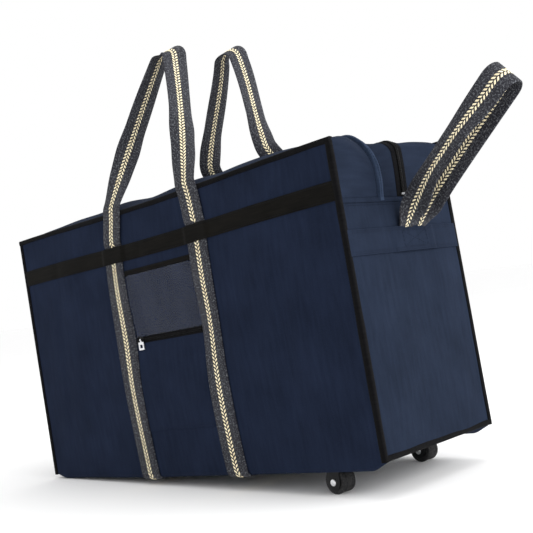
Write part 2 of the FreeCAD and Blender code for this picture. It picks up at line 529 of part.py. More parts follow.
for name, side in (("front", -1), ("rear", 1)):
    middle = f"({side} * ({EAR_OUTER} - {BRACKET_WIDTH} / 2))"
    low_y = f"({middle} - {BRACKET_WIDTH} / 2)"
    plate_low = f"{AXLE_X} - bracket_length / 2"
    spots = [spot for spot in RIVET_SPOTS if spot[2] == side]
    plate = box(f"{name}_bracket_plate", "bracket_length", BRACKET_WIDTH, "bracket", plate_low, low_y,
                f"{BOTTOM_FACE} - bracket")
    ear_parts = [plate]
    for n, ear_low in enumerate((low_y, f"{middle} + {BRACKET_WIDTH} / 2 - bracket")):
        ear_parts.append(box(f"{name}_ear_web{n}", "2 * (wheel_radius - ear_inset)", "bracket",
                             f"{BOTTOM_FACE} - ({AXLE_Z})", f"{AXLE_X} - wheel_radius + ear_inset", ear_low, AXLE_Z))
        ear_parts.append(rod(f"{name}_ear_round{n}", "wheel_radius - ear_inset", "bracket", AXLE_X, ear_low,
                             AXLE_Z, Vector(0, 1, 0)))
    bracket_blank = fuse(f"{name}_bracket_blank", ear_parts)
    axle_hole = rod(f"{name}_axle_hole", "axle_radius + 0.05", f"{BRACKET_WIDTH} + 2", AXLE_X, f"{low_y} - 1",
                    AXLE_Z, Vector(0, 1, 0))
    add(cut(f"{name}_wheel_bracket", bracket_blank, [axle_hole] + rivet_holes(f"{name}_bracket", spots)),
        f"{name}_wheel_bracket")

    shank = rod(f"{name}_axle_shank", "axle_radius", f"{BRACKET_WIDTH} + 2", AXLE_X, f"{low_y} - 1", AXLE_Z,
                Vector(0, 1, 0))
    heads = [rod(f"{name}_axle_head{n}", "axle_head", "axle_head_height", AXLE_X, y, AXLE_Z, Vector(0, 1, 0))
             for n, y in enumerate((f"{low_y} - axle_head_height", f"{middle} + {BRACKET_WIDTH} / 2"))]
    add(fuse(f"{name}_axle", [shank] + heads), f"{name}_axle")

    for part, radius, bore, width in (("hub", "hub_radius", "axle_radius + axle_fit", "wheel_width"),
                                      ("tyre", "wheel_radius", "hub_radius", "tyre_width")):
        blank = rod(f"{name}_{part}_blank", radius, width, AXLE_X, f"{middle} - {width} / 2", AXLE_Z,
                    Vector(0, 1, 0))
        hole = rod(f"{name}_{part}_bore", bore, f"{width} + 2", AXLE_X, f"{middle} - {width} / 2 - 1", AXLE_Z,
                   Vector(0, 1, 0))
        add(cut(f"{name}_{part}", blank, [hole]), f"{name}_{part}")

    backing_blank = box(f"{name}_backing_blank", "bracket_length", BRACKET_WIDTH, "bracket", plate_low, low_y,
                        f"{BOTTOM_TOP} + board")
    add(cut(f"{name}_backing_plate", backing_blank, rivet_holes(f"{name}_backing", spots)),
        f"{name}_backing_plate")

RIVET_LOW = f"({BOTTOM_FACE} - bracket)"
RIVET_TOP = f"({BOTTOM_TOP} + board + bracket)"
rivets = []
for n, spot in enumerate(RIVET_SPOTS):
    x, y = rivet_place(*spot)
    stem = rod(f"rivet_stem{n}", "rivet_radius", f"{RIVET_TOP} - {RIVET_LOW}", x, y, RIVET_LOW, Vector(0, 0, 1))
    top_head = rod(f"rivet_top{n}", "rivet_head", "rivet_head_height", x, y, RIVET_TOP, Vector(0, 0, 1))
    rivets.append(fuse(f"rivet{n}", [stem, top_head]))
add(fuse("bracket_rivets", rivets), "bracket_rivets")

# ---- Carry handles ----


def frame_at(path, i, across):
    """Tangent of a path at point i, and a unit vector across it nearest to the one given."""
    ahead = path[min(i + 1, len(path) - 1)]
    behind = path[max(i - 1, 0)]
    along = (ahead - behind).normalize()
    width = (across - along * across.dot(along)).normalize()
    return along, width


HANDLE_BASE = f"({BAND_TOP} + 1.7)"
# A handle's foot stands just outside its band, so that it can fold down over it.
CLEAR_BASE = size("bag_width / 2 - binding_proud + web + band + web / 2 + fit_gap")
CLEAR_TOP = size("bag_width / 2 + web / 2 + fit_gap")
EDGE_Z = size("bag_height + handle_clearance")
APEX_Z = size(f"{HANDLE_BASE} + handle_rise")
REAR_APEX_Z = size(f"{HANDLE_BASE} + rear_handle_rise")
# A leg meets the turn at the top at this angle from upright.
LEG_TILT = math.radians(21)
# Webbing cups where it twists, and measures this share less across at half its twist.
CUPPING = 0.18


def out_to_edge(z):
    """The strap eases in from its foot to pass close by the top binding."""
    start, end = size(HANDLE_BASE), size("bag_height - binding - 4")
    return CLEAR_BASE + (CLEAR_TOP - CLEAR_BASE) * smooth((z - start) / (end - start))


def front_depth(z):
    """The front handle leans in over the top cloth."""
    if z <= EDGE_Z:
        return -out_to_edge(z)
    return -CLEAR_TOP + size("front_lean") * (z - EDGE_Z) / (APEX_Z - EDGE_Z)


def rear_depth(z):
    """The rear handle leans in over the top cloth first, and then stands up."""
    if z <= EDGE_Z:
        return out_to_edge(z)
    dip = size("rear_dip") * smooth((z - EDGE_Z) / 65)
    back = size("rear_dip - rear_lean") * smooth((z - EDGE_Z - 60) / 170)
    return CLEAR_TOP - dip + back


def handle_sections(depth_at, top_z, narrowing):
    """An arch of webbing, flat on the bag at its feet, whose legs turn edge-on above the bag's top edge.

    depth_at(height) gives its lean, and narrowing how soon its legs come together.
    """
    base = size(HANDLE_BASE)
    half = size("strap_spacing / 2")
    fold = size("handle_fold")
    leg_top = top_z - fold * (1 - math.sin(LEG_TILT))
    leg_x = fold * math.cos(LEG_TILT)
    steps = 16
    # One more section where the strap bends over the top edge of the bag.
    shares = sorted([k / steps for k in range(steps + 1)] + [(EDGE_Z - base) / (leg_top - base)])
    leg = [(half - (half - leg_x) * share ** narrowing, base + (leg_top - base) * share) for share in shares]
    turn = []
    for k in range(1, 6):
        angle = LEG_TILT + (math.pi - 2 * LEG_TILT) * k / 6
        turn.append((-fold * math.cos(angle), top_z - fold * (1 - math.sin(angle))))
    outline = [(-x, z) for x, z in leg] + turn + leg[::-1]
    path = [Vector(x, depth_at(z), z) for x, z in outline]
    sections = []
    for i, centre in enumerate(path):
        twist = math.pi / 2 * smooth((centre.z - EDGE_Z) / size("handle_twist_height"))
        along, width = frame_at(path, i, Vector(math.cos(twist), math.sin(twist), 0))
        if i in (0, len(path) - 1):
            along, width = Vector(0, 0, 1), Vector(1, 0, 0)
        half_width = size("web_width") / 2 * (1 - CUPPING * math.sin(2 * twist) ** 2)
        sections.append((centre, width * half_width, width.cross(along) * (size("web") / 2)))
    return sections


add(ribbon("front_handle", handle_sections(front_depth, APEX_Z, 1.35)), "front_handle")
add(ribbon("rear_handle", handle_sections(rear_depth, REAR_APEX_Z, 1.1)), "rear_handle")

# ---- Pull loop ----


LOOP_LEAN = math.radians(24)


def loop_sections():
    """A hairpin of webbing that stands out of the end band and turns edge-on to it."""
    reach = size("loop_reach")
    gap = size("loop_half_gap")
    shift = size("loop_shift")
    steps = 24
    step = (reach - gap) / steps
    x, z = size(LOOP_FOOT), size(LOOP_BASE)
    rail = []
    for k in range(steps + 1):
        rise = math.radians(39 + 28 * math.exp(-k * step / 28))
        rail.append((Vector(x, 0, z), rise, k * step))
        x += step * math.cos(rise)
        z += step * math.sin(rise)
    half_width, half_thick = size("web_width") / 2, size("web") / 2
    foot_half = half_width + size("loop_foot_gap")
    sections = []

    def section(middle, rise, run, turn):
        """One rectangle, with turn its angle round the fold from the strand nearer the front."""
        axis = Vector(math.cos(rise), 0, math.sin(rise))
        cross = Vector(math.sin(rise), 0, -math.cos(rise))
        # The front strand turns further in its middle and bows out there.
        bow = (1 + math.cos(turn)) / 2 * smooth((run - 40) / 60) * (1 - smooth((run - 140) / 80))
        twist = math.pi / 2 * smooth(run / 55) + LOOP_LEAN * bow
        apart = gap + (foot_half - gap) * (1 - smooth(run / 45)) + size("loop_bow") * bow
        centre = middle + Vector(0, shift - apart * math.cos(turn), 0) + axis * (gap * math.sin(turn))
        width = Vector(0, 1, 0) * math.cos(twist) + cross * math.sin(twist)
        along = axis * math.cos(turn) + Vector(0, 1, 0) * math.sin(turn)
        return centre, width * half_width, along.cross(width).normalize() * half_thick

    for middle, rise, run in rail:
        sections.append(section(middle, rise, run, 0.0))
    top, top_rise, top_run = rail[-1]
    for k in range(1, 8):
        sections.append(section(top, top_rise, top_run, math.pi * k / 8))
    for middle, rise, run in rail[::-1]:
        sections.append(section(middle, rise, run, math.pi))
    return sections


LOOP_BASE = f"({END_BAND_TOP} - 1)"
LOOP_FOOT = f"({END_FACE} + web + end_band + web / 2 + fit_gap)"
add(ribbon("pull_loop", loop_sections()), "pull_loop")

# ---- Rest placement, checks and export ----

doc.recompute()
outline_box = FreeCAD.BoundBox()
for obj in nodes.values():
    leaned = obj.Shape.copy()
    leaned.Placement = Placement(Vector(), LEAN).multiply(obj.Placement)
    outline_box.add(leaned.optimalBoundingBox(True, False))
SHIFT = Vector(-outline_box.Center.x, -outline_box.Center.y, -outline_box.ZMin)
REST = Placement(SHIFT, LEAN)
for obj in nodes.values():
    obj.Placement = REST.multiply(obj.Placement)
doc.recompute()

for obj in doc.Objects:
    if {"Invalid", "Error"} & set(obj.State):
        raise RuntimeError(f"{obj.Label} failed: {obj.State}")
for label, obj in nodes.items():
    if obj.Shape.isNull() or not obj.Shape.isValid() or not obj.Shape.Solids or obj.Shape.Volume <= 0:
        raise RuntimeError(f"{label} has no valid solid")

os.makedirs("parts", exist_ok=True)
for label, obj in nodes.items():
    obj.Shape.exportStep(f"parts/{label}.step")
print(len(nodes), "nodes written")
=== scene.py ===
"""The looks of a soft wheeled shopping bag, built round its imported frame.

Sizes are in millimetres in the bag's level frame, where the bag stands upright: X runs along the bag to its
wheeled end, Y from its front to its back, and Z up from the seams round its ends. A Stance carries points
from there to the frame's own place in metres, where the bag leans back on its wheels.
"""

import json
import logging
import math
from dataclasses import dataclass, field
from enum import Enum
from typing import Callable, Sequence

import bmesh
import bpy
import numpy as np
from mathutils import Euler, Matrix, Vector


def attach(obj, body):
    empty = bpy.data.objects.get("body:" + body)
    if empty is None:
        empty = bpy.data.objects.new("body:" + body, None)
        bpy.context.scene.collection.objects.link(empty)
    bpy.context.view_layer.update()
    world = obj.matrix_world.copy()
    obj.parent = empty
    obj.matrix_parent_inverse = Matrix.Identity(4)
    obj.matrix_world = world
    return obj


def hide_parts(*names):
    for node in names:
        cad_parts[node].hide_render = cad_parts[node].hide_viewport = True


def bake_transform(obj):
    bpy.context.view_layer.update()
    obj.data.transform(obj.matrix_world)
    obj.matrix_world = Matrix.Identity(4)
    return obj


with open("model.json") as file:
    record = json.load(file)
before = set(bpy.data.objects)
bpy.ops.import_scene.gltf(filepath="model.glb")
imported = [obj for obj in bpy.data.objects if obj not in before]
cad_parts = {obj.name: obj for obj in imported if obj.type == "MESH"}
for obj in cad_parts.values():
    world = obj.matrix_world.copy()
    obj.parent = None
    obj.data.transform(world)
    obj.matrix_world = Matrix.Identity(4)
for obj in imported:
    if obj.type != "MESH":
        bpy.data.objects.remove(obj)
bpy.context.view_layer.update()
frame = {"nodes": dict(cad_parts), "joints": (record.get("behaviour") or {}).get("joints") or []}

logging.basicConfig(level=logging.INFO, format="%(message)s")
LOG = logging.getLogger("bag")
MM = 0.001
Surface = Callable[[np.ndarray, np.ndarray, np.ndarray], np.ndarray]


# ---------------------------------------------------------------- frame and form

class Stance:
    """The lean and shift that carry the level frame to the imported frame."""

    def __init__(self) -> None:
        """Reads the lean from the zip's slide axis, and the shift from the bound seams."""
        axes = {joint["name"]: joint["axis"] for joint in frame["joints"]}
        run, _, rise = axes["zip_slide"]
        self.turn = np.array([[run, 0, -rise], [0, 1, 0], [rise, 0, run]], float)
        self.shift = np.zeros(3)
        low, high = self.level_box("front_top_binding")
        back = self.level_box("back_top_binding")[1]
        foot = self.level_box("right_bottom_binding")[0]
        middle = np.array([(low[0] + high[0]) / 2, (low[1] + back[1]) / 2, foot[2]])
        self.shift = self.turn @ middle

    def place(self, points: np.ndarray) -> np.ndarray:
        """Level millimetres to frame metres.

        Args:
            points: an array of points, three numbers each.

        Returns:
            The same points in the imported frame.
        """
        return (np.asarray(points, float).reshape(-1, 3) @ self.turn.T + self.shift) * MM

    def level_box(self, node: str) -> tuple[np.ndarray, np.ndarray]:
        """Lowest and highest corner of a CAD node, in level millimetres."""
        count = len(frame["nodes"][node].data.vertices)
        flat = np.zeros(count * 3, np.float32)
        frame["nodes"][node].data.vertices.foreach_get("co", flat)
        level = (flat.reshape(-1, 3) / MM - self.shift) @ self.turn
        return level.min(0), level.max(0)

    def matrix(self) -> Matrix:
        """The same carry as a matrix for an object modelled in level metres."""
        made = Matrix([list(row) + [0.0] for row in self.turn] + [[0, 0, 0, 1]])
        made.translation = Vector(self.shift) * MM
        return made


def ease(t: np.ndarray) -> np.ndarray:
    """A smooth step from 0 to 1."""
    t = np.clip(t, 0.0, 1.0)
    return t * t * (3 - 2 * t)


@dataclass
class Ripple:
    """Gentle unevenness of hung cloth, as a sum of seeded waves."""

    seed: int
    shortest: float = 55.0
    longest: float = 260.0
    count: int = 16

    def __post_init__(self) -> None:
        """Draws the waves once."""
        draw = np.random.default_rng(self.seed)
        length = draw.uniform(self.shortest, self.longest, self.count)
        angle = draw.uniform(0, math.pi, self.count)
        self.u = 2 * math.pi / length * np.cos(angle)
        self.v = 2 * math.pi / length * np.sin(angle)
        self.phase = draw.uniform(0, 2 * math.pi, self.count)
        self.share = length / self.longest / math.sqrt(self.count)

    def at(self, u: np.ndarray, v: np.ndarray) -> np.ndarray:
        """Height of the unevenness, about 1 at its strongest."""
        total = np.zeros(np.broadcast(u, v).shape)
        for ku, kv, phase, share in zip(self.u, self.v, self.phase, self.share):
            total += share * np.sin(ku * u + kv * v + phase)
        return total


class BagForm:
    """The soft outer surface of the bag, which every piece of cloth and webbing follows."""

    def __init__(self, stance: Stance) -> None:
        """Takes the form's sizes from the CAD nodes.

        Args:
            stance: carries the CAD nodes back to the level frame.
        """
        front_low, front_high = stance.level_box("front_panel")
        binding_low, binding_high = stance.level_box("front_top_binding")
        self.half_length = binding_high[0]
        self.half_width = -binding_low[1]
        self.height = binding_high[2]
        self.binding = binding_high[2] - binding_low[2]
        self.face_y = -front_low[1]
        self.inner_x = front_high[0]
        self.face_x = stance.level_box("right_end_panel")[1][0]
        self.top_z = stance.level_box("top_front_flap")[1][2]
        self.bottom_z = stance.level_box("bottom_panel")[0][2]
        self.seam_z = stance.level_box("right_end_panel")[1][2]
        self.zip_y = stance.level_box("front_zip_tape")[1][1] + 0.1
        self.flap_x = stance.level_box("top_front_flap")[1][0]
        self.ridge_y = float(np.mean([box[1] for box in stance.level_box("top_ridge")]))
        self.fold = 6.0
        self.wall_z = self.height - self.binding + 1.5
        self.front_ripple = Ripple(11)
        self.back_ripple = Ripple(23)
        self.end_ripple = Ripple(37, 40.0, 150.0)
        self.top_ripple = Ripple(41, 45.0, 170.0)
        self.half_base = self.face_y - self.fold
        self.arc = math.pi / 2 * self.fold

    def bottom_line(self, x: np.ndarray) -> np.ndarray:
        """Height of the sagging bottom edge, which rises to the end seams."""
        sag = 3.0 * ease((x + 300.0) / 220.0)
        rise = np.clip((np.abs(x) - (self.half_length - 24.0)) / 24.0, 0, 1)
        return (self.bottom_z - sag) * (1 - rise)

    def top_line(self, x: np.ndarray) -> np.ndarray:
        """How far the long top edges sag in their middle."""
        return -4.5 * np.cos(np.clip(x / self.half_length, -1, 1) * math.pi / 2) ** 2

    def swell(self, side: int, x: np.ndarray, z: np.ndarray) -> np.ndarray:
        """How far a long panel stands out of its flat plane.

        Args:
            side: -1 for the front, 1 for the back.
            x: place along the bag.
            z: height.

        Returns:
            The distance outwards, in millimetres.
        """
        up = np.clip((z - self.bottom_z) / (self.wall_z - self.bottom_z), 0, 1)
        ends = np.sin(math.pi / 2 * np.clip((self.inner_x + 1 - np.abs(x)) / 150.0, 0, 1))
        hang = np.sin(math.pi * up) ** 0.8
        if side < 0:
            # The stiff zip of the pocket holds the cloth flat behind it.
            hang = hang * (1 - 0.95 * np.exp(-(x / 95.0) ** 4) * np.exp(-((z - 197.0) / 60.0) ** 2))
        ripple = (self.front_ripple if side < 0 else self.back_ripple).at(x, z * 0.55)
        soft = 8.5 * hang * ends + 1.5 * ripple * ends * np.minimum(1, 3.0 * hang)
        for place, lean, depth, width in ((-262, 0.10, 1.5, 11), (-28, -0.03, 1.2, 9), (232, 0.08, 1.6, 12),
                                          (312, -0.11, 1.3, 10)):
            crease = np.exp(-((x - place * -side - lean * (z - 200)) / width) ** 2)
            soft = soft - depth * crease * hang * ends
        return soft

    def wall(self, side: int, x: np.ndarray, z: np.ndarray, lift: np.ndarray) -> np.ndarray:
        """A point on a long panel, at a height, lifted outwards."""
        sink = self.top_line(x) * ease((z - 150.0) / (self.wall_z - 150.0))
        y = side * (self.face_y + self.swell(side, x, z) + lift)
        return np.stack(np.broadcast_arrays(x, y, z + sink), -1)

    def girth(self, x: np.ndarray, q: np.ndarray, lift: np.ndarray) -> np.ndarray:
        """A point on the cloth round the bag's cross-section.

        Args:
            x: place along the bag.
            q: way round from the middle of the bottom, negative towards the front.
            lift: distance outwards.

        Returns:
            Points in level millimetres.
        """
        x, q, lift = np.broadcast_arrays(x, q, lift)
        side = np.where(q < 0, -1, 1)
        way = np.abs(q)
        low = self.bottom_line(x)
        # The board holds the middle of the bottom up, so that only its long edges hang below the end seams.
        held = 7.5 * np.clip(1 - (q / self.half_base) ** 4, 0, 1) * ease((np.abs(x) - 270.0) / 50.0)
        base = np.stack([x, q, low - lift + np.minimum(held, -0.75 * low)], -1)
        turn = np.clip((way - self.half_base) / self.fold, 0, math.pi / 2)
        reach = self.fold + lift
        bend = np.stack([x, side * (self.half_base + reach * np.sin(turn)),
                         low + self.fold - reach * np.cos(turn)], -1)
        z = low + self.fold + (way - self.half_base - self.arc) * (
            (self.wall_z - low - self.fold) / (self.wall_z - self.bottom_z - self.fold))
        front, back = self.wall(-1, x, z, lift), self.wall(1, x, z, lift)
        wall = np.where((side < 0)[..., None], front, back)
        out = np.where((way < self.half_base)[..., None], base, bend)
        return np.where((way > self.half_base + self.arc)[..., None], wall, out)

    def way_up(self, z: float) -> float:
        """The way round the girth at which a wall reaches a height."""
        return self.half_base + self.arc + z - self.bottom_z - self.fold

    def end(self, side: int, y: np.ndarray, z: np.ndarray, lift: np.ndarray) -> np.ndarray:
        """A point on an end panel below the gusset seam, lifted outwards."""
        up = np.clip(z / self.seam_z, 0, 1)
        edges = np.sin(math.pi / 2 * np.clip((self.half_width - self.binding + 1 - np.abs(y)) / 55.0, 0, 1))
        puff = 5.0 * np.sin(math.pi * np.clip(up * 0.94 + 0.03, 0, 1)) ** 0.7 * edges
        puff = puff + 0.9 * self.end_ripple.at(y + 300 * side, z * 0.6) * edges * np.sin(math.pi * up) ** 0.5
        x = side * (self.face_x + puff + lift)
        return np.stack(np.broadcast_arrays(x, y, z), -1)

    def corner_radius(self, y: np.ndarray) -> np.ndarray:
        """Radius with which the top turns down over an end: tight at the bindings, soft in the middle."""
        edge = np.clip((self.half_width - self.binding - np.abs(y)) / 60.0, 0, 1)
        front = 32.0 * np.exp(-((y - self.ridge_y) / 30.0) ** 2)
        return 7.5 + 4.0 * ease(edge) + front

    def roof(self, s: np.ndarray, y: np.ndarray, lift: np.ndarray) -> np.ndarray:
        """A point on the top cloth, which runs over both ends down to the gusset seams.

        Args:
            s: way along from the bag's middle, stretched so that it reaches the seam at roof_reach.
            y: place across.
            lift: distance outwards.

        Returns:
            Points in level millimetres.
        """
        s, y, lift = np.broadcast_arrays(s, y, lift)
        side = np.where(s < 0, -1.0, 1.0)
        way = np.abs(s)
        radius = self.corner_radius(y)
        flat = self.face_x - radius
        straight = self.top_z - self.seam_z - radius
        beyond = way - self.flap_x - 10.0
        full = self.roof_reach - self.flap_x - 10.0
        length = (flat - self.flap_x - 10.0) + math.pi / 2 * radius + straight
        run = np.where(beyond > 0, beyond * length / full, beyond) + self.flap_x + 10.0
        turn = np.clip((run - flat) / radius, 0, math.pi / 2)
        down = np.clip(run - flat - math.pi / 2 * radius, 0, None)
        x = np.where(run < flat, run, flat + radius * np.sin(turn))
        z = self.top_z - radius * (1 - np.cos(turn)) - down
        rise = self.dome(side * np.minimum(run, flat), y)
        fade = ease(1 - turn / (math.pi / 2))
        share = np.clip(down / np.maximum(straight, 1e-6), 0, 1)
        belly = 4.0 * np.sin(math.pi * np.clip(share * 0.6 + 0.4 * np.sin(turn) ** 2 * 0.5, 0, 1))
        belly = belly * np.clip((self.half_width - self.binding - np.abs(y)) / 30.0, 0, 1) * (1 - fade)
        out_x = np.sin(turn) * (lift + belly * (1 - share))
        out_z = np.cos(turn) * lift + rise * fade
        sink = self.top_line(x) * ease((np.abs(y) - 60.0) / 60.0) * fade
        return np.stack([side * (x + out_x), y, z + out_z + sink], -1)

    @property
    def roof_reach(self) -> float:
        """Way along the top, from the bag's middle to a gusset seam."""
        return self.face_x + self.top_z - self.seam_z - 12.0

    def dome(self, x: np.ndarray, y: np.ndarray) -> np.ndarray:
        """How far the top cloth stands up between the bindings and the zip, which lies flat."""
        front = np.clip((self.zip_y - 13.0 - y) / (self.zip_y - 13.0 + self.half_width - self.binding), 0, 1)
        rear = np.clip((y - self.zip_y - 13.0) / (self.half_width - self.binding - self.zip_y - 13.0), 0, 1)
        # The raised fold holds the cloth up close to the ends, and elsewhere it rises gently.
        reach = 190.0 - 150.0 * np.exp(-((y - self.ridge_y) / 34.0) ** 2)
        along = np.sin(math.pi / 2 * np.clip((self.half_length + 4 - np.abs(x)) / reach, 0, 1))
        crest = 14.5 * np.sin(math.pi * front ** 1.35) ** 0.9 + 7.0 * np.sin(math.pi * rear) ** 1.2
        live = np.minimum(1, 2.5 * np.maximum(np.sin(math.pi * front), np.sin(math.pi * rear)))
        return crest * (0.28 + 0.72 * along) + 1.5 * self.top_ripple.at(x, y) * live


# ---------------------------------------------------------------- mesh helpers

def clear_selection() -> None:
    """Deselects every object."""
    bpy.ops.object.select_all(action="DESELECT")


def select_only(obj: bpy.types.Object) -> None:
    """Makes one object the only selected one, and the active one."""
    clear_selection()
    obj.select_set(True)
    bpy.context.view_layer.objects.active = obj


def new_object(name: str, vertices: np.ndarray, faces: Sequence[Sequence[int]]) -> bpy.types.Object:
    """Makes an object from vertices in frame metres, with its faces turned outwards.

    Args:
        name: the piece's name.
        vertices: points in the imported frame.
        faces: corner indices of each face.

    Returns:
        The object, linked to the scene.
    """
    mesh = bpy.data.meshes.new(name)
    mesh.from_pydata(np.asarray(vertices).tolist(), [], [list(face) for face in faces])
    mesh.update()
    obj = bpy.data.objects.new(name, mesh)
    bpy.context.scene.collection.objects.link(obj)
    return obj


def signed_volume(points: np.ndarray, faces: np.ndarray) -> float:
    """Volume that a shell of quads holds, negative if its faces point inwards."""
    a, b, c, d = (points[faces[:, k]] for k in range(4))
    first = np.einsum("ij,ij->i", a, np.cross(b, c)).sum()
    second = np.einsum("ij,ij->i", a, np.cross(c, d)).sum()
    return float(first + second) / 6


@dataclass
class Slab:
    """A patch of cloth or webbing of even thickness, laid on a surface by its own two directions.

    Its UV map holds those two directions in millimetres, so that a woven pattern follows the cloth.
    """

    name: str
    surface: Surface
    u: np.ndarray
    v: np.ndarray
    thickness: float
    base: float = 0.0
    soften: float = 0.0
    crown: Callable[[np.ndarray, np.ndarray], np.ndarray] | None = None

    def build(self, stance: Stance) -> bpy.types.Object:
        """Makes the closed shell.

        Args:
            stance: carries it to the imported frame.

        Returns:
            The piece, shaded smooth.
        """
        grid_u, grid_v = np.meshgrid(self.u, self.v, indexing="ij")
        rows, columns = grid_u.shape
        top = np.full(grid_u.shape, self.base + self.thickness)
        if self.crown is not None:
            top = top + self.crown(grid_u, grid_v)
        low = np.full(grid_u.shape, self.base)
        if self.soften:
            rim = np.zeros(grid_u.shape, bool)
            rim[0], rim[-1] = True, True
            rim[:, 0], rim[:, -1] = True, True
            top = np.where(rim, top - self.soften, top)
            low = np.where(rim, low + min(self.soften, self.thickness / 3), low)
        outer = self.surface(grid_u, grid_v, top).reshape(-1, 3)
        inner = self.surface(grid_u, grid_v, low).reshape(-1, 3)
        points = np.concatenate([outer, inner])
        index = np.arange(rows * columns).reshape(rows, columns)
        quads = np.stack([index[:-1, :-1], index[1:, :-1], index[1:, 1:], index[:-1, 1:]], -1).reshape(-1, 4)
        under = quads[:, ::-1] + rows * columns
        ring = np.concatenate([index[:, 0], index[-1, 1:], index[-2::-1, -1], index[0, -2:0:-1]])
        after = np.roll(ring, -1)
        walls = np.stack([after, ring, ring + rows * columns, after + rows * columns], -1)
        faces = np.concatenate([quads, under, walls])
        if signed_volume(points - points.mean(0), faces) < 0:
            faces = faces[:, ::-1]
        obj = new_object(self.name, stance.place(points), faces)
        flat = np.stack([grid_u.ravel(), grid_v.ravel()], -1)
        both = np.concatenate([flat, flat])
        layer = obj.data.uv_layers.new(name="cloth_mm")
        layer.data.foreach_set("uv", both[faces.reshape(-1)].astype(np.float32).ravel())
        return shade(obj, 50)


def shade(obj: bpy.types.Object, angle: float) -> bpy.types.Object:
    """Shades an object smooth, with edges sharper than an angle in degrees left crisp."""
    select_only(obj)
    bpy.ops.object.shade_smooth_by_angle(angle=math.radians(angle))
    return obj


def spaced(low: float, high: float, step: float, rim: float = 0.0) -> np.ndarray:
    """Values from low to high about a step apart, with one more near each end if rim is given."""
    inner = np.linspace(low, high, max(2, int(round(abs(high - low) / step)) + 1))
    if not rim:
        return inner
    edge = rim if high > low else -rim
    return np.concatenate([[low, low + edge], inner[1:-1], [high - edge, high]])


def join(name: str, parts: Sequence[bpy.types.Object]) -> bpy.types.Object:
    """Joins several objects into one named piece."""
    clear_selection()
    for part in parts:
        part.select_set(True)
    bpy.context.view_layer.objects.active = parts[0]
    if len(parts) > 1:
        bpy.ops.object.join()
    joined = bpy.context.view_layer.objects.active
    joined.name = name
    joined.data.name = name
    return joined


def apply_modifier(obj: bpy.types.Object, kind: str, **settings: object) -> None:
    """Adds a modifier with its settings and applies it."""
    select_only(obj)
    modifier = obj.modifiers.new(kind.lower(), kind)
    for key, value in settings.items():
        setattr(modifier, key, value)
    bpy.ops.object.modifier_apply(modifier=modifier.name)


def dress(obj: bpy.types.Object, *materials: bpy.types.Material) -> bpy.types.Object:
    """Gives an object its materials, in slot order."""
    obj.data.materials.clear()
    for material in materials:
        obj.data.materials.append(material)
    return obj


class Track:
    """A path with a width direction and an outward one, along which webbing, tape and thread run."""

    def __init__(self, centre: np.ndarray, across: np.ndarray, narrow: np.ndarray | None = None) -> None:
        """Works out the run and the frames.

        Args:
            centre: points along the path, in level millimetres.
            across: the width direction at each point.
            narrow: share of its full width that the webbing measures at each point, where it cups.
        """
        self.centre = np.asarray(centre, float)
        step = np.linalg.norm(np.diff(self.centre, axis=0), axis=1)
        self.run = np.concatenate([[0], np.cumsum(step)])
        along = np.gradient(self.centre, self.run, axis=0)
        along /= np.linalg.norm(along, axis=1)[:, None]
        across = across - along * np.einsum("ij,ij->i", along, across)[:, None]
        self.across = across / np.linalg.norm(across, axis=1)[:, None]
        self.outward = np.cross(self.across, along)
        if narrow is not None:
            self.across = self.across * np.asarray(narrow)[:, None]

    @property
    def length(self) -> float:
        """Length of the path."""
        return float(self.run[-1])

    def surface(self, u: np.ndarray, v: np.ndarray, lift: np.ndarray) -> np.ndarray:
        """A point at u across, v along and a lift outwards."""
        u, v, lift = np.broadcast_arrays(u, v, lift)

        def read(values: np.ndarray) -> np.ndarray:
            return np.stack([np.interp(v, self.run, values[:, k]) for k in range(3)], -1)

        return read(self.centre) + read(self.across) * u[..., None] + read(self.outward) * lift[..., None]


def tube(name: str, stance: Stance, path: np.ndarray,
         profile: Callable[[int], np.ndarray]) -> bpy.types.Object:
    """Sweeps a closed profile, given as points for each station of a path, into a capped shell.

    Args:
        name: the piece's name.
        stance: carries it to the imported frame.
        path: place along the sweep at each station, for the UV map.
        profile: gives a station's ring of level points.

    Returns:
        The piece, shaded smooth.
    """
    rings = np.stack([profile(k) for k in range(len(path))])
    count = rings.shape[1]
    points = rings.reshape(-1, 3)
    index = np.arange(len(points)).reshape(len(path), count)
    nxt = np.roll(index, -1, axis=1)
    quads = np.stack([index[:-1], nxt[:-1], nxt[1:], index[1:]], -1).reshape(-1, 4)
    faces = [list(q) for q in quads]
    caps = [list(index[0][::-1]), list(index[-1])]
    mean = points.mean(0)
    if signed_volume(points - mean, quads) < 0:
        faces = [face[::-1] for face in faces]
        caps = [cap[::-1] for cap in caps]
    obj = new_object(name, stance.place(points), faces + caps)
    around = np.concatenate([[0], np.cumsum(np.linalg.norm(np.diff(rings[0], axis=0), axis=1))])
    layer = obj.data.uv_layers.new(name="cloth_mm")
    for loop in obj.data.loops:
        station, k = divmod(loop.vertex_index, count)
        layer.data[loop.index].uv = (around[k], path[station])
    return shade(obj, 60)


# ---------------------------------------------------------------- materials

def linear(code: str) -> tuple[float, float, float, float]:
    """An sRGB hex colour as linear red, green, blue and an alpha of one."""
    parts = [int(code[k:k + 2], 16) / 255 for k in (1, 3, 5)]
    made = [c / 12.92 if c <= 0.04045 else ((c + 0.055) / 1.055) ** 2.4 for c in parts]
    return (*made, 1.0)


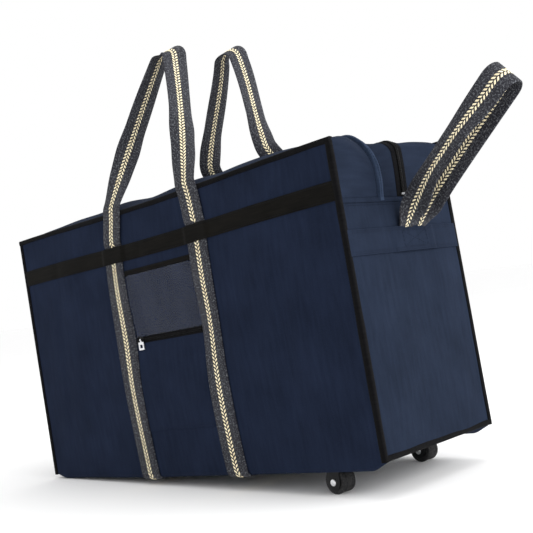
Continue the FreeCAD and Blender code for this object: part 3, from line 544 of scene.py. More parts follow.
def add_node(tree: bpy.types.NodeTree, kind: str, settings: dict | None = None,
             **links: object) -> bpy.types.Node:
    """Adds one node.

    Args:
        tree: the material's node tree.
        kind: the node's type name, without its ShaderNode prefix.
        settings: its properties by name.
        links: its inputs by name, with _ for a space, each a value or an output socket. A name of one letter
            and a number, such as i0, gives an input by its place.

    Returns:
        The node.
    """
    node = tree.nodes.new("ShaderNode" + kind)
    for key, value in (settings or {}).items():
        setattr(node, key, value)
    for key, value in links.items():
        place = int(key[1:]) if key[0] == "i" and key[1:].isdigit() else key.replace("_", " ")
        socket = node.inputs[place]
        if isinstance(value, bpy.types.NodeSocket):
            tree.links.new(value, socket)
        else:
            socket.default_value = value
    return node


MINUS = {"operation": "SUBTRACT"}
TIMES = {"operation": "MULTIPLY"}
TIMES_PLUS = {"operation": "MULTIPLY_ADD"}
SINE = {"operation": "SINE"}
WITHOUT_SIGN = {"operation": "ABSOLUTE"}
ABOVE = {"operation": "GREATER_THAN"}
COLOURS = {"data_type": "RGBA"}


class Weave:
    """A node tree under way: a principled shader and the recipes that feed it."""

    def __init__(self, name: str, **shader: object) -> None:
        """Starts a material.

        Args:
            name: the finish's name.
            shader: constants for the principled shader's own sockets.
        """
        self.material = bpy.data.materials.new(name)
        self.material.use_nodes = True
        self.tree = self.material.node_tree
        self.tree.nodes.clear()
        self.shader = add_node(self.tree, "BsdfPrincipled", **shader)
        out = add_node(self.tree, "OutputMaterial")
        self.tree.links.new(self.shader.outputs[0], out.inputs[0])
        self.place = add_node(self.tree, "TexCoord")

    def add(self, kind: str, settings: dict | None = None, out: int = 0,
            **links: object) -> bpy.types.NodeSocket:
        """Adds one node to the material, as add_node does.

        Args:
            kind: the node's type name.
            settings: its properties by name.
            out: which of its outputs to give.
            links: its inputs, as for add_node.

        Returns:
            That output.
        """
        return add_node(self.tree, kind, settings, **links).outputs[out]

    def cloth_ways(self) -> tuple[bpy.types.NodeSocket, bpy.types.NodeSocket]:
        """The piece's own two directions, in millimetres."""
        split = add_node(self.tree, "SeparateXYZ", i0=self.place.outputs["UV"])
        return split.outputs[0], split.outputs[1]

    def noise(self, size_mm: float, detail: float = 3.0, on_uv: bool = False, rough: float = 0.5,
              stretch: tuple[float, float, float] = (1, 1, 1)) -> bpy.types.NodeSocket:
        """Noise whose marks are about a size in millimetres, on the cloth's own map or in space."""
        unit = 1.0 if on_uv else 1 / MM
        scale = [unit / size_mm * s for s in stretch]
        place = self.place.outputs["UV" if on_uv else "Object"]
        moved = self.add("Mapping", Vector=place, Scale=scale)
        return self.add("TexNoise", Vector=moved, Scale=1.0, Detail=detail, Roughness=rough)

    def marks(self, size_mm: float, low: float, high: float, detail: float = 3.0, on_uv: bool = False,
              rough: float = 0.5, stretch: tuple[float, float, float] = (1, 1, 1)) -> bpy.types.NodeSocket:
        """The noise's values from low to high, spread from 0 to 1 and cut off outside."""
        noise = self.noise(size_mm, detail, on_uv, rough, stretch)
        return self.add("MapRange", Value=noise, From_Min=low, From_Max=high)

    def threads(self, across: bpy.types.NodeSocket, pitch: float) -> bpy.types.NodeSocket:
        """Rounded threads side by side, from 0 between them to 1 on their backs."""
        turn = self.add("Math", TIMES, i0=across, i1=math.pi / pitch)
        return self.add("Math", WITHOUT_SIGN, i0=self.add("Math", SINE, i0=turn))

    def layers(self, *parts: tuple[bpy.types.NodeSocket, float], base: object = 0.0) -> object:
        """Several values added up, each with its own share, on a base."""
        total = base
        for value, share in parts:
            total = self.add("Math", TIMES_PLUS, i0=value, i1=share, i2=total)
        return total

    def feed(self, **sockets: object) -> bpy.types.Material:
        """Links outputs to the shader's sockets and gives the finished material."""
        for key, value in sockets.items():
            self.tree.links.new(value, self.shader.inputs[key.replace("_", " ")])
        return self.material


@dataclass(frozen=True)
class Canvas:
    """Plain-woven polyester canvas, dyed in the piece and matt, with soft fading where it was folded."""

    name: str
    deep: str
    pale: str
    # The real threads are 0.4 mm apart. They are drawn wider, so that the weave still shows at arm's length.
    thread_mm: float = 0.9

    def make(self) -> bpy.types.Material:
        """Builds the finish."""
        w = Weave(self.name, Roughness=0.86, Specular_IOR_Level=0.04, Sheen_Weight=0.04, Sheen_Roughness=0.6)
        w.shader.inputs["Sheen Tint"].default_value = linear("#5d6f9a")
        u, v = w.cloth_ways()
        warp, weft = w.threads(u, self.thread_mm), w.threads(v, self.thread_mm)
        # Which thread lies on top changes like a chessboard, so that the eye sees a plain weave.
        turn_u = w.add("Math", TIMES, i0=u, i1=math.pi / self.thread_mm)
        turn_v = w.add("Math", TIMES, i0=v, i1=math.pi / self.thread_mm)
        check = w.add("Math", TIMES, i0=w.add("Math", SINE, i0=turn_u), i1=w.add("Math", SINE, i0=turn_v))
        warp_on_top = w.add("Math", ABOVE, i0=check, i1=0.0)
        weft_on_top = w.add("Math", MINUS, i0=1.0, i1=warp_on_top)
        warp_seen = w.add("Math", TIMES, i0=warp_on_top, i1=warp)
        cloth = w.add("Math", TIMES_PLUS, i0=weft_on_top, i1=weft, i2=warp_seen)
        # Broad patches are faded folds, upright streaks are slubs in the warp, and specks are lint.
        patches = w.marks(70.0, 0.3, 0.75, 4.0, True)
        slubs = w.marks(6.0, 0.35, 0.8, 3.0, True, 0.6, (1.0, 0.12, 1.0))
        specks = w.marks(1.6, 0.4, 0.8, 2.0, True)
        tone = w.layers((patches, 0.35), (slubs, 0.3), (specks, 0.22), base=0.2)
        # Painted shade: the hollows between threads are darker than their backs.
        tone = w.add("Math", TIMES, i0=tone, i1=w.layers((cloth, 0.35), base=0.65))
        colour = w.add("Mix", COLOURS, 2, i0=tone, i6=linear(self.deep), i7=linear(self.pale))
        # Small creases catch the light under the relief of the threads.
        creases = w.add("Bump", Strength=0.35, Distance=1.6 * MM, Height=w.noise(26.0, 4.0, True, 0.55))
        relief = w.add("Bump", Strength=0.35, Distance=0.25 * MM, Height=cloth, Normal=creases)
        return w.feed(Base_Color=colour, Normal=relief)


@dataclass(frozen=True)
class RibbedTape:
    """Woven polyester tape with fine ribs, such as seam binding, zip tape and the plain black webbing."""

    name: str
    dark: str
    light: str
    rib_mm: float
    ribs_along: bool = True

    def make(self) -> bpy.types.Material:
        """Builds the finish."""
        w = Weave(self.name, Roughness=0.78, Specular_IOR_Level=0.05, Sheen_Weight=0.02, Sheen_Roughness=0.5)
        u, v = w.cloth_ways()
        ribs = w.threads(u if self.ribs_along else v, self.rib_mm)
        cross = w.threads(v if self.ribs_along else u, self.rib_mm * 0.6)
        # Streaks follow the yarns, fuzz is broken fibre on their backs, and worn patches are paler.
        along = (1.0, 0.08, 1.0) if self.ribs_along else (0.08, 1.0, 1.0)
        streak = w.marks(3.0, 0.25, 0.75, 3.0, True, 0.6, along)
        fuzz = w.marks(1.2, 0.5, 0.8, 3.0, True, 0.7)
        worn = w.marks(45.0, 0.45, 0.8, 3.0, True)
        # Painted shade: the hollows between the ribs are darker than their backs.
        yarns = w.add("Math", TIMES, i0=w.layers((ribs, 0.5), base=0.3), i1=streak)
        tone = w.layers((fuzz, 0.3), (worn, 0.25), base=yarns)
        colour = w.add("Mix", COLOURS, 2, i0=tone, i6=linear(self.dark), i7=linear(self.light))
        # The ribs stand up and are notched where the cross threads tie them down.
        height = w.add("Math", TIMES, i0=w.layers((cross, 0.3), base=0.7), i1=ribs)
        relief = w.add("Bump", Strength=0.5, Distance=0.3 * MM, Height=height)
        return w.feed(Base_Color=colour, Normal=relief)


@dataclass(frozen=True)
class TwillWebbing:
    """Heavy polypropylene webbing in a broken twill of charcoal and blue-grey yarns."""

    name: str
    dark: str
    middle: str
    fleck: str
    # The twill lines are about 1.5 mm apart on the real webbing, and are drawn wider so that they show.
    twill_mm: float = 2.6
    yarn_mm: float = 1.0

    def make(self) -> bpy.types.Material:
        """Builds the finish."""
        w = Weave(self.name, Roughness=0.74, Specular_IOR_Level=0.08, Sheen_Weight=0.04, Sheen_Roughness=0.5)
        u, v = w.cloth_ways()
        # The twill runs down to both edges from the middle, so the eye reads a herringbone.
        lean = w.layers((v, 0.8), base=w.add("Math", WITHOUT_SIGN, i0=u))
        twill = w.threads(lean, self.twill_mm)
        picks = w.threads(v, self.yarn_mm)
        # Broken lines keep it from looking printed, and the drift is uneven dye along its length.
        broken = w.marks(1.8, 0.3, 0.7, 2.0, True, 0.6)
        drift = w.marks(60.0, 0.3, 0.7, 2.0, True)
        lines = w.add("Math", TIMES, i0=twill, i1=broken)
        tone = w.layers((lines, 0.75), (drift, 0.3))
        ground = w.add("Mix", COLOURS, 2, i0=tone, i6=linear(self.dark), i7=linear(self.middle))
        # Pale flecks are the grey yarns that show through.
        flecks = w.layers((w.marks(2.6, 0.5, 0.68, 3.0, True, 0.7), 0.6))
        colour = w.add("Mix", COLOURS, 2, i0=flecks, i6=ground, i7=linear(self.fleck))
        height = w.layers((twill, 0.7), (picks, 0.3))
        relief = w.add("Bump", Strength=0.55, Distance=0.45 * MM, Height=height)
        return w.feed(Base_Color=colour, Normal=relief)


@dataclass(frozen=True)
class PlaitYarn:
    """Twisted cotton yarn of the plaited stripe, undyed and slightly soiled in patches, with painted shade in
    the hollows between its fibres.
    """

    name: str = "plait_yarn_cotton"
    # The darker colour serves both the soil patches and the painted shade between the fibres.
    soiled_and_shaded: str = "#c4a877"
    clean: str = "#fff2cc"
    fibre_mm: float = 0.6

    def make(self) -> bpy.types.Material:
        """Builds the finish."""
        w = Weave(self.name, Roughness=0.8, Specular_IOR_Level=0.2, Sheen_Weight=0.1)
        u, v = w.cloth_ways()
        # Slanted fibres show the twist of the yarn, and their hollows are painted darker as shade; the soil
        # makes its colour uneven.
        fibres = w.threads(w.layers((v, 0.6), base=u), self.fibre_mm)
        soil = w.marks(12.0, 0.15, 0.55, 3.0, True)
        tone = w.layers((fibres, 0.3), base=soil)
        colour = w.add("Mix", COLOURS, 2, i0=tone, i6=linear(self.soiled_and_shaded), i7=linear(self.clean))
        relief = w.add("Bump", Strength=0.3, Distance=0.15 * MM, Height=fibres)
        return w.feed(Base_Color=colour, Normal=relief)


@dataclass(frozen=True)
class ClearVinyl:
    """Flexible clear PVC sheet over the cloth, plasticised and glossy, with a faint grey haze."""

    name: str = "window_vinyl"
    tint: str = "#20273a"
    hazy: str = "#343c52"

    def make(self) -> bpy.types.Material:
        """Builds the finish."""
        w = Weave(self.name, Roughness=0.2, IOR=1.52, Specular_IOR_Level=0.3, Alpha=0.38)
        # Long soft streaks of haze grey the sheet, and make its reflections waver.
        haze = w.noise(28.0, 3.0, True, 0.5, (1.0, 0.3, 1.0))
        share = w.add("MapRange", Value=haze, From_Min=0.3, From_Max=0.8)
        colour = w.add("Mix", COLOURS, 2, i0=share, i6=linear(self.tint), i7=linear(self.hazy))
        return w.feed(Base_Color=colour, Normal=w.add("Bump", Strength=0.25, Distance=2.0 * MM, Height=haze))


@dataclass(frozen=True)
class Moulded:
    """Injection-moulded nylon or polypropylene with a fine spark-eroded grain."""

    name: str
    colour: str
    worn: str
    rough: float = 0.45
    grain_mm: float = 0.5

    def make(self) -> bpy.types.Material:
        """Builds the finish."""
        w = Weave(self.name, IOR=1.5, Roughness=self.rough, Specular_IOR_Level=0.14)
        # Scuffs are paler and duller than the moulded skin, and the grain breaks up its gloss.
        scuffs = w.marks(7.0, 0.52, 0.75, 4.0, False, 0.65)
        rough = w.layers((scuffs, 0.25), base=self.rough)
        colour = w.add("Mix", COLOURS, 2, i0=w.layers((scuffs, 0.6)), i6=linear(self.colour),
                       i7=linear(self.worn))
        grain = w.add("Bump", Strength=0.2, Distance=0.08 * MM, Height=w.noise(self.grain_mm, 2.0))
        return w.feed(Base_Color=colour, Roughness=rough, Normal=grain)


@dataclass(frozen=True)
class TyreRubber:
    """Black thermoplastic rubber of the tread, matt and dusty where it meets the ground."""

    name: str = "tyre_rubber"
    rubber: str = "#1b1b1d"
    dusty: str = "#4a4947"

    def make(self) -> bpy.types.Material:
        """Builds the finish."""
        w = Weave(self.name, IOR=1.5, Roughness=0.72, Specular_IOR_Level=0.3)
        # Dust greys the rubber in patches, and a fine grain keeps it matt.
        dust = w.layers((w.marks(3.0, 0.45, 0.8, 4.0, False, 0.65), 0.7))
        colour = w.add("Mix", COLOURS, 2, i0=dust, i6=linear(self.rubber), i7=linear(self.dusty))
        grain = w.add("Bump", Strength=0.35, Distance=0.12 * MM, Height=w.noise(0.6, 3.0))
        return w.feed(Base_Color=colour, Normal=grain)


@dataclass(frozen=True)
class PlatedMetal:
    """Plated or bare metal: a bright skin with fine handling marks."""

    name: str
    colour: str
    rough: float = 0.28
    mark_mm: float = 2.5
    dulling: float = 0.72

    def make(self) -> bpy.types.Material:
        """Builds the finish."""
        w = Weave(self.name, Metallic=1.0, Roughness=self.rough)
        # Handling marks both dull the skin and spread its reflections.
        marks = w.noise(self.mark_mm, 4.0, False, 0.65)
        spread = w.add("MapRange", Value=marks, From_Min=0.4, From_Max=0.8)
        share = w.add("MapRange", Value=marks, From_Min=0.45, From_Max=0.85)
        bright = linear(self.colour)
        dull = (*(part * self.dulling for part in bright[:3]), 1.0)
        colour = w.add("Mix", COLOURS, 2, i0=share, i6=bright, i7=dull)
        relief = w.add("Bump", Strength=0.08, Distance=0.05 * MM, Height=w.noise(0.35, 2.0))
        return w.feed(Base_Color=colour, Roughness=w.layers((spread, 0.2), base=self.rough), Normal=relief)


@dataclass(frozen=True)
class PaintedSteel:
    """Pressed sheet steel, electro-coated black, with small rubbed spots that show the metal."""

    name: str = "black_coated_steel"
    coat: str = "#111214"
    rubbed: str = "#55565a"

    def make(self) -> bpy.types.Material:
        """Builds the finish."""
        w = Weave(self.name, Metallic=0.0, IOR=1.5, Specular_IOR_Level=0.2)
        # Few, sharp spots look rubbed through, and the coat's gloss and skin are a little uneven.
        spots = w.marks(2.2, 0.66, 0.72, 4.0, False, 0.7)
        colour = w.add("Mix", COLOURS, 2, i0=spots, i6=linear(self.coat), i7=linear(self.rubbed))
        rough = w.layers((w.noise(6.0), 0.25), base=0.3)
        peel = w.add("Bump", Strength=0.15, Distance=0.06 * MM, Height=w.noise(1.1, 2.0))
        return w.feed(Base_Color=colour, Roughness=rough, Normal=peel)


@dataclass(frozen=True)
class FibreBoard:
    """Grey-brown pressed fibre board that stiffens the bottom, with flecks of its pulp."""

    name: str = "pressed_fibre_board"
    dark: str = "#2d2a27"
    pale: str = "#6b6156"

    def make(self) -> bpy.types.Material:
        """Builds the finish."""
        w = Weave(self.name, Roughness=0.9, Specular_IOR_Level=0.15)
        # Pulp gives fine flecks with a relief, and the stain clouds them.
        pulp = w.noise(1.4, 4.0, False, 0.7)
        flecks = w.add("MapRange", Value=pulp, From_Min=0.35, From_Max=0.7)
        tone = w.layers((flecks, 0.6), (w.noise(60.0, 3.0), 0.4))
        colour = w.add("Mix", COLOURS, 2, i0=tone, i6=linear(self.dark), i7=linear(self.pale))
        relief = w.add("Bump", Strength=0.3, Distance=0.2 * MM, Height=pulp)
        return w.feed(Base_Color=colour, Normal=relief)


class Finish(Enum):
    """Every finish on the bag."""

    PANEL = Canvas("navy_canvas", "#0f1522", "#222b40")
    # A lighter copy of the navy canvas for the ends and the top: painted light, as these faces catch more of
    # the lamps.
    GUSSET = Canvas("navy_canvas_ends_painted_light", "#121823", "#273042")
    # A lighter copy of the navy canvas for the raised fold: a painted highlight for the light that the fold
    # catches.
    RIDGE = Canvas("canvas_fold_painted_highlight", "#1c2536", "#3d4a60")
    BINDING = RibbedTape("black_seam_binding", "#040405", "#121214", 1.1, False)
    BAND = RibbedTape("black_webbing_band", "#060605", "#181613", 1.4, False)
    ZIP_TAPE = RibbedTape("black_zip_tape", "#040405", "#111113", 0.9)
    WEBBING = TwillWebbing("charcoal_twill_webbing", "#15151a", "#3e3e45", "#84888d")
    YARN = PlaitYarn()
    THREAD = RibbedTape("navy_sewing_thread", "#080b13", "#1d2435", 0.8)
    VINYL = ClearVinyl()
    COIL = Moulded("nylon_zip_coil", "#060607", "#19191b", 0.35, 0.4)
    HUB = Moulded("nylon_hub", "#070708", "#1d1d20", 0.4)
    TYRE = TyreRubber()
    BRACKET = PaintedSteel()
    RIVET = PlatedMetal("bright_zinc_steel", "#d9dadc", 0.25)
    SLIDER = PlatedMetal("nickel_plated_zinc", "#b9babd", 0.3)
    PULL = PlatedMetal("satin_silver_pull", "#e6e7e9", 0.38)
    BOARD = FibreBoard()


FINISHES: dict[Finish, bpy.types.Material] = {}


def finish(kind: Finish) -> bpy.types.Material:
    """The material of a finish, made the first time it is asked for."""
    if kind not in FINISHES:
        FINISHES[kind] = kind.value.make()
    return FINISHES[kind]


# ---------------------------------------------------------------- sewing

@dataclass
class Stitching:
    """Rows of lockstitch, each stitch a short raised thread with a gap after it."""

    name: str
    stance: Stance
    length: float = 3.0
    gap: float = 1.3
    width: float = 0.55
    points: list[np.ndarray] = field(default_factory=list)
    faces: list[np.ndarray] = field(default_factory=list)
    count: int = 0

    def row(self, surface: Surface, start: tuple[float, float], end: tuple[float, float],
            lift: float) -> None:
        """Sews one straight row on a surface.

        Args:
            surface: gives points from its two directions and a lift.
            start: where the row starts, in the surface's directions.
            end: where it ends.
            lift: height of the cloth that it is sewn on.
        """
        a, b = np.array(start, float), np.array(end, float)
        whole = float(np.linalg.norm(b - a))
        along = (b - a) / whole
        side = np.array([-along[1], along[0]]) * self.width / 2
        number = max(1, int(whole / (self.length + self.gap)))
        starts = (np.arange(number) + 0.5) * whole / number - self.length / 2
        shares = np.array([0.0, 0.25, 0.75, 1.0]) * self.length
        heights = np.array([-0.1, 0.38, 0.38, -0.1])
        rings = []
        for share, height in zip(shares, heights):
            mid = a + along * (starts + share)[:, None]
            left, right = mid - side, mid + side
            rings += [surface(left[:, 0], left[:, 1], np.full(number, lift - 0.15)),
                      surface(mid[:, 0], mid[:, 1], np.full(number, lift + height)),
                      surface(right[:, 0], right[:, 1], np.full(number, lift - 0.15))]
        block = np.stack(rings, 1)
        quads = []
        for k in range(3):
            base = 3 * k
            quads += [[base, base + 1, base + 4, base + 3], [base + 1, base + 2, base + 5, base + 4],
                      [base, base + 3, base + 5, base + 2]]
        quads = np.array(quads)
        offsets = self.count + np.arange(number) * 12
        self.points.append(block.reshape(-1, 3))
        self.faces.append((quads[None] + offsets[:, None, None]).reshape(-1, 4))
        self.count += number * 12

    def build(self) -> bpy.types.Object:
        """Makes the piece of all its rows."""
        obj = new_object(self.name, self.stance.place(np.concatenate(self.points)),
                         np.concatenate(self.faces))
        select_only(obj)
        bpy.ops.object.mode_set(mode="EDIT")
        bpy.ops.mesh.select_all(action="SELECT")
        bpy.ops.mesh.fill_holes(sides=4)
        bpy.ops.mesh.normals_make_consistent(inside=False)
        bpy.ops.object.mode_set(mode="OBJECT")
        obj.data.uv_layers.new(name="cloth_mm")
        return dress(shade(obj, 80), finish(Finish.THREAD))


@dataclass
class StripedWebbing:
    """Twill webbing with a plaited stripe down its middle, whose strands are modelled one by one."""

    name: str
    stance: Stance
    surface: Surface
    run: tuple[float, float]
    width: float = 40.0
    thickness: float = 2.5
    stripe: float = 10.5
    columns: int = 2
    # A real plait crosses every 3 mm. It is drawn coarser, so that its crossings still show.
    cell: float = 5.4
    base: float = 0.0
    both_faces: bool = True
    step: float = 5.0

    def build(self) -> bpy.types.Object:
        """Makes the webbing with its stripe, as one piece."""
        half = self.width / 2
        u = np.array([-half, -half + 0.8, -half * 0.6, -self.stripe / 2, self.stripe / 2, half * 0.6,
                      half - 0.8, half])
        ground = Slab(self.name, self.surface, u, spaced(*self.run, self.step), self.thickness, self.base,
                      soften=0.7).build(self.stance)
        dress(ground, finish(Finish.WEBBING), finish(Finish.YARN))
        faces = (1, -1) if self.both_faces else (1,)
        plaits = [self.plait(face) for face in faces]
        return join(self.name, [ground, *plaits])

    def plait(self, face: int) -> bpy.types.Object:
        """The stripe's strands on one face: 1 for the outer one, -1 for the inner one."""
        wide = self.stripe / self.columns
        number = int(abs(self.run[1] - self.run[0]) / self.cell)
        pitch = (self.run[1] - self.run[0]) / number
        level = self.base + (self.thickness if face > 0 else 0.0)
        corner_u = np.array([-0.5, -0.2, 0.2, 0.5, 0.5, 0.2, -0.2, -0.5]) * wide * 0.82
        points, uvs = [], []
        for k in range(self.columns):
            slant = 1 if k % 2 == 0 else -1
            middle_u = (k - (self.columns - 1) / 2) * wide
            middle_v = self.run[0] + (np.arange(number) + 0.5 + 0.5 * (k % 2)) * pitch
            middle_v = middle_v[middle_v < max(self.run) - abs(pitch) / 2]
            half_v = np.array([-0.42, -0.5, -0.5, -0.42, 0.42, 0.5, 0.5, 0.42]) * abs(pitch) * 0.6
            lean = corner_u / wide * slant * abs(pitch) * 0.75
            for shrink, lift in ((1.0, -0.15), (0.62, 0.5)):
                cu = middle_u + corner_u * shrink + np.zeros((len(middle_v), 1))
                cv = middle_v[:, None] + (half_v + lean) * shrink
                points.append(self.surface(cu, cv, np.full(cu.shape, level + face * lift)))
                uvs.append(np.stack([cu, cv], -1))
        rings = [np.concatenate([low, high], 1) for low, high in zip(points[0::2], points[1::2])]
        flat_uv = [np.concatenate([low, high], 1) for low, high in zip(uvs[0::2], uvs[1::2])]
        block = np.concatenate(rings)
        corner_uv = np.concatenate(flat_uv).reshape(-1, 2)
        around = np.arange(8)
        after = np.roll(around, -1)
        sides = np.stack([around, after, after + 8, around + 8], -1)
        lid = np.array([[8, 9, 14, 15], [9, 10, 13, 14], [10, 11, 12, 13]])
        bottom = np.array([[7, 6, 1, 0], [6, 5, 2, 1], [5, 4, 3, 2]])
        cell = np.concatenate([sides, lid, bottom])
        if face < 0:
            cell = cell[:, ::-1]
        offsets = np.arange(len(block)) * 16
        faces = (cell[None] + offsets[:, None, None]).reshape(-1, 4)
        places = block.reshape(-1, 3)
        if signed_volume(places[:16] - places[:16].mean(0), faces[:len(cell)]) < 0:
            faces = faces[:, ::-1]
        obj = new_object(self.name + "_plait", self.stance.place(places), faces)
        layer = obj.data.uv_layers.new(name="cloth_mm")
        layer.data.foreach_set("uv", corner_uv[faces.reshape(-1)].astype(np.float32).ravel())
        dress(obj, finish(Finish.WEBBING), finish(Finish.YARN))
        obj.data.polygons.foreach_set("material_index", np.ones(len(faces), np.int32))
        return shade(obj, 60)


# ---------------------------------------------------------------- sub-assemblies

@dataclass
class CanvasBody:
    """The panels, gussets' lower ends and bottom of the bag, cut from canvas."""

    form: BagForm
    stance: Stance
    cloth: float = 1.8
    cell: float = 6.0

    def build(self) -> None:
        """Makes every fixed panel."""
        form = self.form
        wall = form.way_up(form.wall_z)
        turn_in = form.half_base - 10.0
        x = spaced(-form.inner_x - 2, form.inner_x + 2, self.cell)
        for name, node, low, high in (("front_canvas", "front_panel", -wall, -turn_in),
                                      ("back_canvas", "back_panel", turn_in, wall)):
            q = np.unique(np.concatenate([spaced(low, high, self.cell),
                                          self.fold_line(1 if low > 0 else -1)]))
            self.panel(name, node, form.girth, x, q, -self.cloth)
        q = spaced(-turn_in, turn_in, self.cell)
        self.panel("bottom_canvas", "bottom_panel", form.girth,
                   spaced(-form.face_x, form.face_x, self.cell), q,
                   -self.cloth)
        half = form.half_width - form.binding + 2
        for hand, side in (("right", 1), ("left", -1)):
            self.panel(f"{hand}_end_canvas", f"{hand}_end_panel",
                       lambda y, z, lift, way=side: form.end(way, y, z, lift),
                       spaced(-half, half, self.cell), spaced(2.0, form.seam_z, self.cell),
                       -self.cloth)

    def fold_line(self, side: int) -> np.ndarray:
        """Extra lines where the cloth turns under the bag."""
        form = self.form
        return side * (form.half_base + np.linspace(0, form.arc, 6))

    def panel(self, name: str, node: str, surface: Surface, u: np.ndarray, v: np.ndarray,
              base: float) -> None:
        """Makes one panel that replaces its CAD node.

        Args:
            name: the piece's name.
            node: the CAD node that it stands for.
            surface: the surface that its outer face lies on.
            u: lines across it one way.
            v: lines across it the other way.
            base: lift of its inner face.
        """
        piece = Slab(name, surface, u, v, self.cloth, base).build(self.stance)
        # The end panels take the lighter canvas copy, which is painted light.
        kind = Finish.GUSSET if "end" in name else Finish.PANEL
        dress(piece, finish(kind))
        seat(piece, "bag", "navy_canvas", node)


def seat(piece: bpy.types.Object, body: str, slot: str, *nodes: str) -> bpy.types.Object:
    """Rides a piece on a body, hides the CAD nodes that it stands for, and reports it."""
    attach(piece, body)
    if nodes:
        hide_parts(*nodes)
    LOG.info("%s: %d faces on %s", piece.name, len(piece.data.polygons), body)
    return piece


@dataclass
class Bindings:
    """Black tape folded over the raised seams along the bag's edges."""

    form: BagForm
    stance: Stance
    leg: float = 7.4
    proud: float = 0.35
    thick: float = 1.3

    def profile(self) -> np.ndarray:
        """The folded tape in section: first number inwards along one face, second along the other."""
        leg, out, t = self.leg, -self.proud, self.thick
        return np.array([(leg, 1.75), (leg, 1.75 - t * 0.7), (leg - 0.9, out + 0.35),
                         (leg * 0.55, out + 0.05), (2.2, out), (0.8, out + 0.25), (out + 0.25, 0.8),
                         (out, 2.2), (out + 0.05, leg * 0.55), (out + 0.35, leg - 0.9),
                         (1.75 - t * 0.7, leg), (1.75, leg), (2.6, 4.6), (4.6, 2.6)])

    def build(self) -> None:
        """Makes all eight bound seams."""
        form = self.form
        half_l, half_w, top = form.half_length, form.half_width, form.height
        thread = Stitching("binding_stitching", self.stance)
        for face, side in (("front", -1), ("back", 1)):
            x = spaced(-half_l - 0.3, half_l + 0.3, 8.0)

            def top_ring(k: int, way: int = side, xs: np.ndarray = x) -> np.ndarray:
                inward, down = self.wobble(xs[k])
                drop = form.top_line(xs[k])
                return np.stack([np.full(len(inward), xs[k]), way * (half_w - inward), top - down + drop],
                                -1)

            piece = tube(f"{face}_top_edge_tape", self.stance, x, top_ring)
            self.finish(piece, f"{face}_top_binding")
            thread.row(lambda u, v, lift, way=side: form.wall(way, u, v, lift),
                       (-half_l + 8, top - 6.3), (half_l - 8, top - 6.3), 1.2)
            for hand, way in (("right", 1), ("left", -1)):
                z = spaced(-0.4, top - 4.0, 8.0)

                def side_ring(k: int, fy: int = side, fx: int = way, zs: np.ndarray = z) -> np.ndarray:
                    inward, across = self.wobble(zs[k] + 900 * fx + 500 * fy)
                    return np.stack([fx * (half_l - inward), fy * (half_w - across),
                                     np.full(len(inward), zs[k])], -1)

                piece = tube(f"{face}_{hand}_edge_tape", self.stance, z, side_ring)
                self.finish(piece, f"{face}_{hand}_binding")
                thread.row(lambda u, v, lift, s=side: form.wall(s, u, v, lift),
                           (way * (half_l - 6.4), top - 10), (way * (half_l - 6.4), 6.0), 1.2)
        for hand, way in (("right", 1), ("left", -1)):
            y = spaced(-half_w + 3.0, half_w - 3.0, 8.0)

            def foot_ring(k: int, fx: int = way, ys: np.ndarray = y) -> np.ndarray:
                inward, up = self.wobble(ys[k] + 1700 * fx)
                return np.stack([fx * (half_l - inward), np.full(len(inward), ys[k]), up - 0.1], -1)

            piece = tube(f"{hand}_bottom_edge_tape", self.stance, y, foot_ring)
            self.finish(piece, f"{hand}_bottom_binding")
        seat(thread.build(), "bag", "binding_tape")

    def wobble(self, place: float) -> tuple[np.ndarray, np.ndarray]:
        """The section's two directions, with the slight unevenness of a hand-fed binder."""
        section = self.profile()
        grow = 1.0 + 0.05 * math.sin(place / 37.0) + 0.03 * math.sin(place / 11.0 + 1.3)
        return section[:, 0] * grow, section[:, 1] * grow

    def finish(self, piece: bpy.types.Object, node: str) -> None:
        """Dresses one bound seam."""
        dress(piece, finish(Finish.BINDING))
        seat(piece, "bag", "binding_tape", node)


